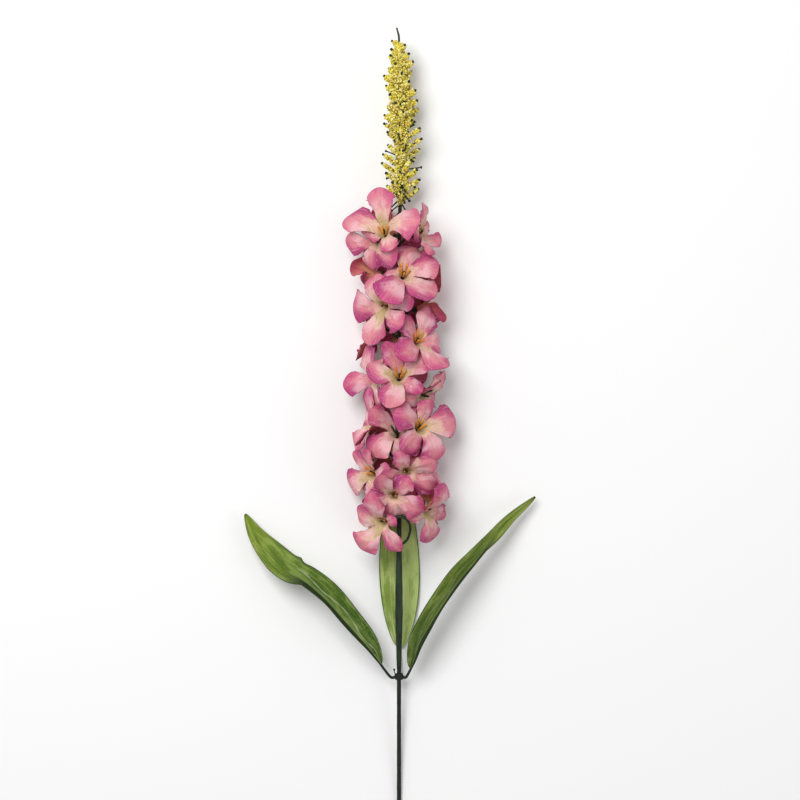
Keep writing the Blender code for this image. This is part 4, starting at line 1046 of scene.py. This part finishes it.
def crumb_places(draw):
    """Where crumbs sit: round each sprig in a tapering sheath, and piled up between the sprigs."""
    roots, directions, lengths = sprig_lines()
    across = unit(np.cross(directions, [0.0, 1.0, 0.0]))
    upright = np.cross(across, directions)
    shape = (len(lengths), SHEATH_CRUMBS)
    low = (roots[:, 1] < PRONGS_BELOW)[:, None]
    out = draw.uniform(SHEATH_START, 1.0, shape) ** SHEATH_CROWD * (lengths[:, None] - SHEATH_BARE)
    share = out / lengths[:, None]
    sheath = (SHEATH_RADIUS + SHEATH_FLARE * (1.0 - share)) * np.where(low, SHEATH_LOW, 1.0)
    top = rise((roots[:, 1] - SHEATH_TOP) / SHEATH_TOP_REACH)
    sheath = sheath * (1.0 - SHEATH_TOP_LESS * top)[:, None]
    ring = draw.uniform(0.0, 2.0 * np.pi, shape)
    off = sheath * draw.uniform(SHEATH_INNER, 1.0, shape)
    points = (roots[:, None] + out[..., None] * directions[:, None]
              + (off * np.cos(ring))[..., None] * across[:, None]
              + (off * np.sin(ring))[..., None] * upright[:, None])
    longer = rise(lengths[:, None] / KEPT_LENGTH)
    share = np.where(low, KEPT_LOW, 1.0) * (KEPT_SHORT + (1.0 - KEPT_SHORT) * longer)
    sheathed = points[draw.uniform(size=shape) < share]
    span = BUD_END - BUD_START - FILL_SPAN
    along = BUD_START + FILL_START + span * draw.uniform(size=FILL_CRUMBS) ** FILL_CROWD
    core = read_off(SPIKE_RADII, along) + FILL_GAP
    outer = read_off(BUD_RADII, along) * np.where(along < PRONGS_BELOW, *FILL_REACH)
    reach = core + (outer - core) * draw.uniform(FILL_INNER, 1.0, FILL_CRUMBS) ** FILL_OUTWARD
    turn = draw.uniform(0.0, 2.0 * np.pi, FILL_CRUMBS)
    axis = stem_point(along)
    filled = axis + np.stack([reach * np.sin(turn), np.zeros(FILL_CRUMBS), reach * np.cos(turn)], axis=1)
    return np.vstack([sheathed, filled])


bud_crumb = Finish("bud_crumb", {"Specular IOR Level": 0.2, "Roughness": 0.9, "Subsurface Weight": 0.1,
                                 "Subsurface Scale": 0.001, "Subsurface Radius": (1.0, 0.8, 0.2)})
_tint = bud_crumb.field("tint")
_grain = bud_crumb.noise(bud_crumb.place(), 0.35)
bud_crumb.feed("Base Color", bud_crumb.layers(
    (188, 164, 44),
    (_tint.eased(0.0, 0.35), (240, 224, 88)),
    (_tint.eased(0.5, 0.85), (255, 250, 176)),
    (_tint.eased(0.88, 0.89) * 0.7, (226, 168, 108)),
    (_tint.eased(0.93, 0.94) * 0.85, (84, 76, 34)),
    (_grain.eased(0.5, 0.75) * 0.35, (158, 136, 48))))
bud_crumb.relief(_grain, 0.15)
_draw = np.random.default_rng(CRUMB_SEED)
crumb_coat = new_piece("crumb_coat", crumbs(crumb_places(_draw), _draw), bud_crumb, flat=True)
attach(crumb_coat, "root")
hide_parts("bud_crumbs")

# Corollas: each is cut in one piece from white cloth with a hole in its middle, dyed magenta at the
# petals' ends and cream at the throat, stiffened, and pressed hot into a funnel with five petals.
HOLE_RADIUS = 1.6
PETAL_LENGTH = 43.5
PETAL_HALF_WIDTH = 16.2
PETAL_BULGE = 4.0
NOTCH = 0.3
FUNNEL_ANGLE = 26.0
FLARE_START = 1.0
FLARE_END = 29.0
CURL_START = 0.5
FREE_END = 0.6
FOLD_GAP = 0.35
FOLD_SHARPNESS = 8.0
WIDTH_TURN = 0.74
WIDTH_LATE = 1.25
WIDTH_FULL = 0.75
CUP_POWER = 1.7
LINE_STEPS = 65
FLOOR = 0.36
FLOOR_SOFTNESS = 1.6

# Drawn for every petal: how far it swings and twists, its cup, which is under 0 where the edges
# bend back, the curl of its end, and its width
PETAL_SEED = 7
PETAL_DRAWS = {"swing": (-3.0, 3.0), "twist": (-9.0, 9.0), "cup": (-0.36, -0.08),
               "curl": (12.0, 52.0), "width": (0.96, 1.06)}
FLARE_DRAW = (-4.0, 4.0)

# How a petal that is in the way may move, and what each kind of move costs
FLARE_MOVES = (0, -9, 9, -18, 18, -28, 28, -40, 40, -50, -60)
SWING_MOVES = (0, -8, 8, -16, 16, -26, 26)
TWIST_MOVES = (0, -15, 15, -30, 30)
SIZE_MOVES = (1.0, 0.92, 0.82, 0.7, 0.58, 0.46)
FLARE_COST = 11.0
SWING_COST = 8.0
TWIST_COST = 16.0
SIZE_COST = 0.055
LEAST_FLARE = 24.0
LOWEST = -5.0

# Space kept free for each funnel, and in front of each mouth: distances in front of the hole, radii
FUNNEL_SPACE = ((-1.4, 4.2), (5.0, 6.0), (10.0, 9.0))
MOUTH_SPACE = ((10.1, 9.0), (20.0, 9.0))
SPACE_SIDES = 10

# Shells that stand for petals while a free place is looked for, half their thickness and their grid
SHELL_HALF = 0.75
SHELL_ROWS = ((0.3, 0.3, 1.0), (0.45, 0.45, 1.0), (0.6, 0.6, 1.0), (0.75, 0.75, 1.0),
              (0.88, 0.84, 0.97), (1.0, 0.93, 0.74))
SHELL_COLUMNS = np.array([-1.0, -0.5, 0.0, 0.5, 1.0])
SHELL_ALONG = np.array([middle + (end - middle) * SHELL_COLUMNS ** 2 for middle, end, _ in SHELL_ROWS])
SHELL_ACROSS = np.array([reach * SHELL_COLUMNS for _, _, reach in SHELL_ROWS])
SHELL_TRIANGLES = lattice(np.arange(SHELL_ALONG.size).reshape(SHELL_ALONG.shape))
SHELL_FACES = sheet_faces(SHELL_TRIANGLES, SHELL_ALONG.size).tolist()
OUTER_ROWS = 2
MIDDLE_COLUMN = 2

# Coarse forms that petals keep clear of: the axis, the lowest sprigs with their bulbs, the stamens
AXIS_SPACE_ROWS = 30
COARSE_SIDES = 3
LOW_SPRIGS = 8
SPRIG_SHAFT = 0.6
SPRIG_BULB = 1.15
SPRIG_BULB_END = 0.35
SPRIG_BULB_BACK = (3.4, 1.3, 0.0)


def petal_points(place, petal, along, across):
    """Middle surface of a petal, from the hole (along 0) to its tip (1), across from -1 to 1.

    The middle line leaves the hole at the funnel's angle and opens to the petal's flare. Up to
    the notch the cloth goes round the funnel. Past it each petal is free: it widens to a round
    end, bends back by its edges, twists about its middle line and swings sideways.
    """
    hole, right, up, facing = place
    size = petal["size"]
    length = PETAL_LENGTH * size
    free = rise((along - NOTCH) / (FREE_END - NOTCH))
    run = length * along - free * PETAL_BULGE * size * across ** 2 * along ** 2
    steps = np.linspace(0.0, length, LINE_STEPS)
    opening = rise((steps - FLARE_START) / (FLARE_END * size - FLARE_START))
    curl = petal["curl"] * rise((steps / length - CURL_START) / (1.0 - CURL_START))
    angle = np.radians(FUNNEL_ANGLE + (petal["flare"] - FUNNEL_ANGLE) * opening + curl)
    middle = 0.5 * (angle[1:] + angle[:-1])
    radius_line = HOLE_RADIUS + np.concatenate([[0.0], np.cumsum(np.sin(middle)) * steps[1]])
    height_line = np.concatenate([[0.0], np.cumsum(np.cos(middle)) * steps[1]])
    radius = np.interp(run, steps, radius_line)
    height = np.interp(run, steps, height_line)
    slope = np.interp(run, steps, angle)[..., None]

    swell = np.sin(np.pi * WIDTH_TURN * np.clip(along, 0.0, 1.0) ** WIDTH_LATE) ** WIDTH_FULL
    wide = PETAL_HALF_WIDTH * size * petal["width"] * swell
    sector = np.maximum(radius * np.tan(SECTOR) - FOLD_GAP, FOLD_GAP)
    wide = wide * sector / (wide ** FOLD_SHARPNESS + sector ** FOLD_SHARPNESS) ** (1.0 / FOLD_SHARPNESS)
    aside = (1.0 - free) * radius * np.sin(SECTOR * across) + free * wide * across
    inward = (1.0 - free) * radius * (1.0 - np.cos(SECTOR * across))
    cup = free * petal["cup"] * wide * np.abs(across) ** CUP_POWER

    late = rise((along - NOTCH) / (1.0 - NOTCH))
    azimuth = np.radians(petal["azimuth"] + petal["swing"] * late)[..., None]
    twist = np.radians(petal["twist"] * late)
    outward = np.cos(azimuth) * right + np.sin(azimuth) * up
    around = np.cos(azimuth) * up - np.sin(azimuth) * right
    inner = np.sin(slope) * facing - np.cos(slope) * outward
    lateral = aside * np.cos(twist) - cup * np.sin(twist)
    lifted = aside * np.sin(twist) + cup * np.cos(twist)
    points = hole + height[..., None] * facing + (radius - inward)[..., None] * outward
    return points + lateral[..., None] * around + lifted[..., None] * inner


def settle(points):
    """The points, with what would reach below the surface bent so that it lies along it."""
    above = (points[..., 2] - FLOOR) / FLOOR_SOFTNESS
    height = FLOOR + FLOOR_SOFTNESS * np.logaddexp(0.0, above)
    return np.concatenate([points[..., :2], height[..., None]], axis=-1)


def ways_to_move():
    """Ways to move a petal that is in the way, the least change first.

    The swings and twists, and then the moves: flare, size, and the number of swing and twist.
    """
    sideways = [(swing, twist) for swing in SWING_MOVES for twist in TWIST_MOVES]
    moves = []
    for flare in FLARE_MOVES:
        for size in SIZE_MOVES:
            for number, (swing, twist) in enumerate(sideways):
                cost = (flare / FLARE_COST) ** 2 + (swing / SWING_COST) ** 2
                cost += (twist / TWIST_COST) ** 2 + ((1.0 - size) / SIZE_COST) ** 2
                moves.append((cost, flare, size, number))
    return np.array(sideways, float), sorted(moves)


def petal_shells(place, petal):
    """Thick shells round the free part of a petal for many swings and twists, and their lowest."""
    formed = petal_points(place, petal, SHELL_ALONG, SHELL_ACROSS)
    lowest = formed[:, OUTER_ROWS:, MIDDLE_COLUMN, 2].min(axis=1)
    points = settle(formed).reshape(len(formed), -1, 3)
    return thicken(points, SHELL_TRIANGLES, SHELL_HALF)[0], lowest


def drawn_petal(floret, number, draw):
    """Numbers of one petal of a floret, with what is drawn for it."""
    petal = {name: draw.uniform(*limits) for name, limits in PETAL_DRAWS.items()}
    petal["azimuth"] = floret["roll"] + 360.0 / PETALS * number
    petal["flare"] = floret["flares"][number] + draw.uniform(*FLARE_DRAW)
    petal["size"] = floret["size"]
    petal.update(floret.get("petals", {}).get(number, {}))
    return petal


def clear_petal(place, petal, still, placed, sideways, moves):
    """The petal, moved as little as clears it of what stands still and of the placed shells."""
    swings, twists = (sideways[:, k, None, None] for k in range(2))
    tried = {}
    for _, flare, size, number in moves:
        if petal["flare"] + flare < LEAST_FLARE:
            continue
        trial = dict(petal, flare=petal["flare"] + flare, size=petal["size"] * size)
        if (flare, size) not in tried:
            turned = dict(trial, swing=petal["swing"] + swings, twist=petal["twist"] + twists)
            tried[flare, size] = petal_shells(place, turned)
        shells, lowest = tried[flare, size]
        if lowest[number] < LOWEST:
            continue
        shell = shells[number]
        tree = BVHTree.FromPolygons(shell.tolist(), SHELL_FACES)
        low = shell.min(axis=0)
        high = shell.max(axis=0)
        near = [other for bottom, top, other in placed if (bottom < high).all() and (low < top).all()]
        if tree.overlap(still) or any(tree.overlap(other) for other in near):
            continue
        placed.append((low, high, tree))
        return dict(trial, swing=petal["swing"] + sideways[number, 0],
                    twist=petal["twist"] + sideways[number, 1])
    raise ValueError("no free place for a petal")


def as_solid(points, faces):
    """Points and faces as lists."""
    return points.tolist(), [list(face) for part in faces for face in part.tolist()]


def coarse_bar(path, radii, sides):
    """A round bar as lists, to keep clear of."""
    shell = sweep(path, radii, sides)
    return as_solid(shell["points"], shell["faces"])


def coarse_peg(floret, place):
    """A floret's peg with its calyx and pin, and its stamens, to keep clear of."""
    hole, _, _, facing = place
    line = peg_line(floret, place, PEG_ROWS)
    ends = [hole + offset * facing for offset in (-CALYX_BEHIND, PIN_START, PIN_LENGTH)]
    radii = [PEG_RADIUS] * len(line) + [CALYX_RADIUS, PIN_RADIUS, PIN_RADIUS]
    solids = [coarse_bar(np.vstack([line, ends]), radii, PEG_SIDES)]
    reach = np.array([share for share, _ in STAMEN_PROFILE])[:, None] * STAMEN_LENGTH
    for start, _, direction in stamens(floret, place):
        solids.append(coarse_bar(start + reach * direction, [radius for _, radius in STAMEN_PROFILE],
                                 COARSE_SIDES))
    return solids


def space(place, profile):
    """A round space in front of a floret's hole, from distances and radii."""
    hole, _, _, facing = place
    offsets = np.array([offset for offset, _ in profile])[:, None]
    return coarse_bar(hole + offsets * facing, [radius for _, radius in profile], SPACE_SIDES)


def search_tree(solids):
    """A search tree of all faces of some solids."""
    points = []
    faces = []
    for solid_points, solid_faces in solids:
        shift = len(points)
        points.extend(solid_points)
        faces.extend([tuple(index + shift for index in face) for face in solid_faces])
    return BVHTree.FromPolygons(points, faces)


def coarse_leaf(leaf):
    """A leaf's blade with few faces, to keep clear of."""
    along, across = np.meshgrid(np.linspace(0.0, 1.0, LEAF_COARSE_ROWS),
                                np.linspace(-1.0, 1.0, LEAF_COARSE_COLUMNS), indexing="ij")
    points = leaf_points(leaf, along, across, LEAF_COARSE_RISE).reshape(-1, 3)
    points, faces = thicken(points, lattice(np.arange(along.size).reshape(along.shape)), LEAF_STAND)
    return points.tolist(), faces.tolist()


def coarse_sprigs(count):
    """The lowest sprigs, three-sided, to keep clear of."""
    solids = []
    for root, direction, length in list(zip(*sprig_lines()))[:count]:
        steps = np.array([SPRIG_ROOT, *(length - back for back in SPRIG_BULB_BACK)])[:, None]
        radii = [SPRIG_SHAFT, SPRIG_SHAFT, SPRIG_BULB, SPRIG_BULB * SPRIG_BULB_END]
        solids.append(coarse_bar(root + steps * direction, radii, COARSE_SIDES))
    return solids


def arrange(florets, places, fixed):
    """Shape every petal of every floret so that it clears what is placed before it."""
    draw = np.random.default_rng(PETAL_SEED)
    pegs = [coarse_peg(floret, place) for floret, place in zip(florets, places)]
    funnels = [space(place, FUNNEL_SPACE) for place in places]
    mouths = [space(place, MOUTH_SPACE) for place in places]
    sideways, moves = ways_to_move()
    placed = []
    result = []
    for number, (floret, place) in enumerate(zip(florets, places)):
        others = list(fixed) + mouths[number + 1:]
        for k, (peg, funnel) in enumerate(zip(pegs, funnels)):
            if k != number:
                others += [*peg, funnel]
        still = search_tree(others)
        petals = []
        for k in range(PETALS):
            petal = drawn_petal(floret, k, draw)
            petals.append(clear_petal(place, petal, still, placed, sideways, moves))
        result.append(petals)
    return result


FUNNEL_ROWS = 9
PETAL_ROWS = 24
PETAL_COLUMNS = 17
PETAL_EDGE = 0.06
LAST_ROW = 0.975
CLOTH_HALF = 0.16
ROUND_FLORETS = (1, 3, 7, 8)

# Drawn for every petal: the marks of the press, the pinch of its end where it isn't round, the dye
PRESS_DRAWS = {"end": (0.18, 0.32), "ruffle": (0.7, 1.6), "waves": (6.0, 11.0), "phase": (0.0, 6.28),
               "crease": (0.3, 1.1), "uneven": (0.01, 0.07), "pucker": (0.2, 0.8), "pinch": (-0.5, 0.5),
               "dye": (0.0, 1.0), "blush": (0.0, 1.0)}

# Notches of the edge: rates of two sines along the petal, the weight of the second, and how much
# both count. Ruffle: the weight and rate of its second sine, and the rate of the tip's. Veins:
# depth, rate across and slant.
NOTCH_RATES = (1.7, 4.1)
NOTCH_SECOND = 0.6
NOTCH_DEPTH = 0.6
RUFFLE_SECOND = (0.45, 2.3)
TIP_RATE = 3.4
CREASE_WIDTH = 0.1
VEINS = (0.09, 26.0, 3.0)
PUCKER_RATE = 8.0
PUCKER_SLANT = 2.5


def free_grid(end):
    """Places along and across of a petal's free part, with its end rounded to an arc.

    Rows are straight at the notch and bend, with the cube of the row, into half an ellipse whose
    depth is the share end of the free part.
    """
    rows = np.concatenate([np.linspace(0.0, LAST_ROW, PETAL_ROWS), [1.0]])
    row, column = np.meshgrid(rows, edged(PETAL_EDGE, PETAL_COLUMNS - 2), indexing="ij")
    bent = row ** 3
    across = (1.0 - bent) * column + bent * np.sin(0.5 * np.pi * column)
    along = NOTCH + (1.0 - NOTCH) * row * (1.0 - end + end * np.cos(0.5 * np.pi * column))
    return row, column, along, across


def pressed_petal(place, petal, looks):
    """The free part of a petal with the marks of the press: a crease down its middle, a ruffle
    round its edge and side veins, all added along the surface's normal."""
    row, column, along, across = free_grid(looks["end"])
    notches = np.sin(looks["waves"] * NOTCH_RATES[0] * row + looks["phase"] + 2.0 * np.sign(column))
    second = np.sin(looks["waves"] * NOTCH_RATES[1] * row + 2.0 * looks["phase"])
    notches = notches + NOTCH_SECOND * second
    across = across * (1.0 - looks["uneven"] * rise((row - 0.25) / 0.5) * (1.0 + NOTCH_DEPTH * notches))
    across = across * (1.0 - looks["pinch"] * rise((row - 0.45) / 0.55) ** 2)
    formed = petal_points(place, petal, along, across)
    normal = unit(np.cross(np.gradient(formed, axis=0), np.gradient(formed, axis=1)))
    late = rise((row - 0.1) / 0.6)
    edge = np.abs(column) ** 3
    turns = looks["waves"] * row + looks["phase"] * np.sign(column)
    weight, rate = RUFFLE_SECOND
    ruffle = looks["ruffle"] * edge * late * (np.sin(turns) + weight * np.sin(rate * turns + 1.0))
    tip = looks["ruffle"] * rise((row - 0.6) / 0.4) * np.sin(TIP_RATE * column + looks["phase"])
    crease = -looks["crease"] * np.exp(-(across / CREASE_WIDTH) ** 2) * rise(row / 0.2)
    crease = crease * (1.0 - rise((row - 0.6) / 0.35))
    depth, rate, slant = VEINS
    veins = depth * np.cos(rate * across + slant * row) * late * rise((1.0 - row) * 3.0)
    puckers = np.sin(PUCKER_RATE * across + 3.0 * looks["phase"] + PUCKER_SLANT * row)
    puckers = looks["pucker"] * puckers * late
    puckers = puckers * (1.0 - rise((row - 0.75) / 0.25))
    bumps = ruffle + tip + crease + veins + puckers
    return formed + bumps[..., None] * normal, row, column, along, across


def corolla_cloth(place, petals, looks):
    """A corolla: a grid round its funnel up to the notches, and a grid for each free petal.

    Where two petals join on the funnel, both bend to the middle between them.
    """
    columns = edged(PETAL_EDGE, PETAL_COLUMNS - 2)
    spans = PETAL_COLUMNS - 1
    along, across = np.meshgrid(np.linspace(0.0, NOTCH, FUNNEL_ROWS), columns, indexing="ij")
    strips = np.array([petal_points(place, petal, along, across) for petal in petals])
    gaps = np.roll(strips[:, :, :1], -1, axis=0) - strips[:, :, -1:]
    pull = (0.5 * rise(columns))[None, :, None]
    strips = strips + gaps * pull - np.roll(gaps, 1, axis=0) * pull[:, ::-1]
    ring = PETALS * spans
    points = [strips[:, :, :-1].transpose(1, 0, 2, 3).reshape(-1, 3)]
    dyes = np.array([[look["dye"], look["blush"]] for look in looks])
    around = np.tile(np.repeat(dyes, spans, axis=0), (FUNNEL_ROWS, 1))
    parts = [dict(along=np.repeat(along[:, 0], ring), side=np.zeros(FUNNEL_ROWS * ring),
                  rim=np.repeat((along[:, 0] == 0.0).astype(float), ring),
                  dye=around[:, 0], blush=around[:, 1])]
    index = np.arange(FUNNEL_ROWS * ring).reshape(FUNNEL_ROWS, ring)
    triangles = [lattice(np.hstack([index, index[:, :1]]))]
    count = FUNNEL_ROWS * ring
    for number, (petal, look) in enumerate(zip(petals, looks)):
        formed, row, column, along, across = pressed_petal(place, petal, look)
        held = (1.0 - rise((along - NOTCH) / 0.12))[..., None]
        after = gaps[number, -1] * rise(across)[..., None]
        before = gaps[number - 1, -1] * rise(-across)[..., None]
        formed = formed + 0.5 * held * (after - before)
        points.append(formed[1:].reshape(-1, 3))
        rim = np.maximum(np.abs(column) == 1.0, row == 1.0).astype(float)[1:]
        side = across * rise((along - NOTCH) / 0.15)
        parts.append(dict(along=along[1:].ravel(), side=side[1:].ravel(), rim=rim.ravel(),
                          dye=np.full(rim.size, look["dye"]), blush=np.full(rim.size, look["blush"])))
        first = index[-1, (number * spans + np.arange(PETAL_COLUMNS)) % ring]
        own = count + np.arange(rim.size).reshape(-1, PETAL_COLUMNS)
        triangles.append(lattice(np.vstack([first, own])))
        count += own.size
    points = settle(np.vstack(points))
    fields = {name: np.concatenate([part[name] for part in parts]) for name in parts[0]}
    return cloth(points, np.concatenate(triangles), CLOTH_HALF, **fields)


def drawn_looks(draw, round_ended):
    """What the press and the dye bath left to chance on one petal."""
    looks = {name: draw.uniform(*limits) for name, limits in PRESS_DRAWS.items()
             if name != "pinch" or not round_ended}
    looks["pinch"] = max(0.0, looks.get("pinch", 0.0))
    return looks


petal_cloth = Finish("petal_cloth", {"Specular IOR Level": 0.3, "Sheen Weight": 0.1, "Sheen Roughness": 0.5,
                                     "Subsurface Weight": 0.14, "Subsurface Scale": 0.0025,
                                     "Subsurface Radius": (1.0, 0.4, 0.4)})
_along = petal_cloth.field("along")
_side = petal_cloth.field("side")
_dye = petal_cloth.field("dye")
_blush = petal_cloth.field("blush")
_back = 1.0 - petal_cloth.field("other")
_rim = petal_cloth.field("rim")
_streak = petal_cloth.noise(petal_cloth.point(_side * 9.0, _along * 2.2, _dye * 40.0), 1.0, 3.0)
_cloud = petal_cloth.noise(petal_cloth.point(_side * 1.5, _along * 2.6, _blush * 60.0), 1.0, 2.0)
_dots = petal_cloth.noise(petal_cloth.place(), 1.1, 1.0)
_weave = petal_cloth.noise(petal_cloth.place(), 0.4, 1.0)
_reach = _along + (_cloud - 0.5) * 0.8 + (_streak - 0.5) * 0.12 + (_dye - 0.55) * 0.35
_lean = _side * (_blush - 0.5)
_ribs = (_side * 26.0 + (_streak - 0.5) * 4.0).sine()
_border = abs(_side) * 0.45 + _reach * 0.75 + _lean * 0.9
# Painted highlight: a whitish zone in the middle of each petal, for light on the domed cloth.
_painted_highlight = _along.eased(0.3, 0.5) * _along.eased(0.86, 0.6) * (_cloud + _lean * -0.5).eased(0.44, 0.62)
_face = petal_cloth.layers(
    (194, 170, 122),
    (_reach.eased(0.08, 0.3), (230, 186, 168)),
    (_reach.eased(0.3, 0.5), (218, 130, 142)),
    (_border.eased(0.5, 0.88) * (0.75 + 0.25 * _dye), (190, 64, 120)),
    (_border.eased(0.8, 1.15) * 0.7, (158, 42, 108)),
    # Painted highlight, whitish, in the middle of each petal.
    (_painted_highlight * 0.55, (244, 204, 206)),
    # Pale lengthwise marks, partly the cloth's own paler dye and partly painted sheen highlight.
    (_streak.eased(0.54, 0.8) * 0.4, (242, 200, 198)),
    (_ribs.eased(0.2, 1.0) * _along.eased(0.6, 0.3) * 0.35, (156, 100, 78)))
_under = petal_cloth.layers(
    (210, 140, 108),
    (_reach.eased(0.2, 0.6), (206, 108, 110)),
    ((_reach + _lean * 0.4).eased(0.45, 0.9) * (0.65 + 0.35 * _dye), (170, 50, 100)),
    (_streak.eased(0.55, 0.75) * 0.3, (232, 168, 146)))
petal_cloth.feed("Base Color", petal_cloth.layers(
    _face,
    (_back.eased(0.45, 0.55), _under),
    (_dots.eased(0.52, 0.7) * 0.16, (244, 206, 206)),
    (_dots.eased(0.48, 0.3) * 0.14, (150, 40, 90)),
    (_rim.eased(0.0, 0.8) * (0.35 + 0.6 * _cloud), (118, 32, 66))))
petal_cloth.feed("Roughness", 0.55 + 0.25 * _streak)
petal_cloth.relief(_weave * 0.5 + _streak * 0.5 + _ribs * _along.eased(0.75, 0.3) * 0.6, 0.2)

_axis_places = np.linspace(SPIKE_START, STEM_LENGTH, AXIS_SPACE_ROWS)
_axis = coarse_bar(stem_point(_axis_places), read_off(SPIKE_RADII, _axis_places) + CLEARANCE, STEM_SIDES)
petals = arrange(FLORETS, places, [coarse_leaf(LEAVES["leaf_back"]), _axis, *coarse_sprigs(LOW_SPRIGS)])
_draw = np.random.default_rng(PETAL_SEED + 1)
for _number, (_place, _petals) in enumerate(zip(places, petals), start=1):
    _looks = [drawn_looks(_draw, _number in ROUND_FLORETS) for _ in range(PETALS)]
    corolla = new_piece("corolla_%02d_cloth" % _number, corolla_cloth(_place, _petals, _looks), petal_cloth)
    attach(corolla, "root")
    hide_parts("corolla_%02d" % _number)

# Studio: a plain pale floor, a large soft light over it, a fill from the side, and the camera
# straight above with a long lens.
PICTURE_MIDDLE = (0.95, 408.0, 30.0)
PICTURE_WIDTH = 0.76
LENS = 200.0
SENSOR = 36.0
FLOOR_HALF = 6.0
SURROUND = 0.42
bpy.context.scene.view_settings.view_transform = "Standard"

floor_mesh = bpy.data.meshes.new("floor")
_corners = [(x * FLOOR_HALF, y * FLOOR_HALF, 0.0) for x, y in ((-1, -1), (1, -1), (1, 1), (-1, 1))]
floor_mesh.from_pydata(_corners, [], [(0, 1, 2, 3)])
floor = bpy.data.objects.new("floor", floor_mesh)
bpy.context.scene.collection.objects.link(floor)
floor_paper = Finish("floor_paper", {"Specular IOR Level": 0.1, "Roughness": 0.9})
floor_paper.feed("Base Color", (0.94, 0.94, 0.94))
floor_mesh.materials.append(floor_paper.material)


def soft_light(name, place, size, watts):
    """A square light that looks at the middle of the object."""
    light = bpy.data.lights.new(name, "AREA")
    light.energy = watts
    light.size = size
    made = bpy.data.objects.new(name, light)
    made.location = place
    made.rotation_euler = (-Vector(place)).to_track_quat("-Z", "Y").to_euler()
    bpy.context.scene.collection.objects.link(made)


soft_light("overhead_light", (-0.7, 0.9, 2.0), 1.3, 40.0)
soft_light("side_light", (1.6, -0.6, 1.2), 1.0, 5.0)
world = bpy.data.worlds.new("studio")
world.use_nodes = True
world.node_tree.nodes["Background"].inputs["Color"].default_value = (1.0, 1.0, 1.0, 1.0)
world.node_tree.nodes["Background"].inputs["Strength"].default_value = SURROUND
bpy.context.scene.world = world

camera_data = bpy.data.cameras.new("camera")
camera_data.lens = LENS
camera_data.sensor_width = SENSOR
camera = bpy.data.objects.new("camera", camera_data)
_middle = np.array(PICTURE_MIDDLE) * MM + SHIFT
camera.location = (_middle[0], _middle[1], _middle[2] + PICTURE_WIDTH * LENS / SENSOR)
bpy.context.scene.collection.objects.link(camera)
bpy.context.scene.camera = camera
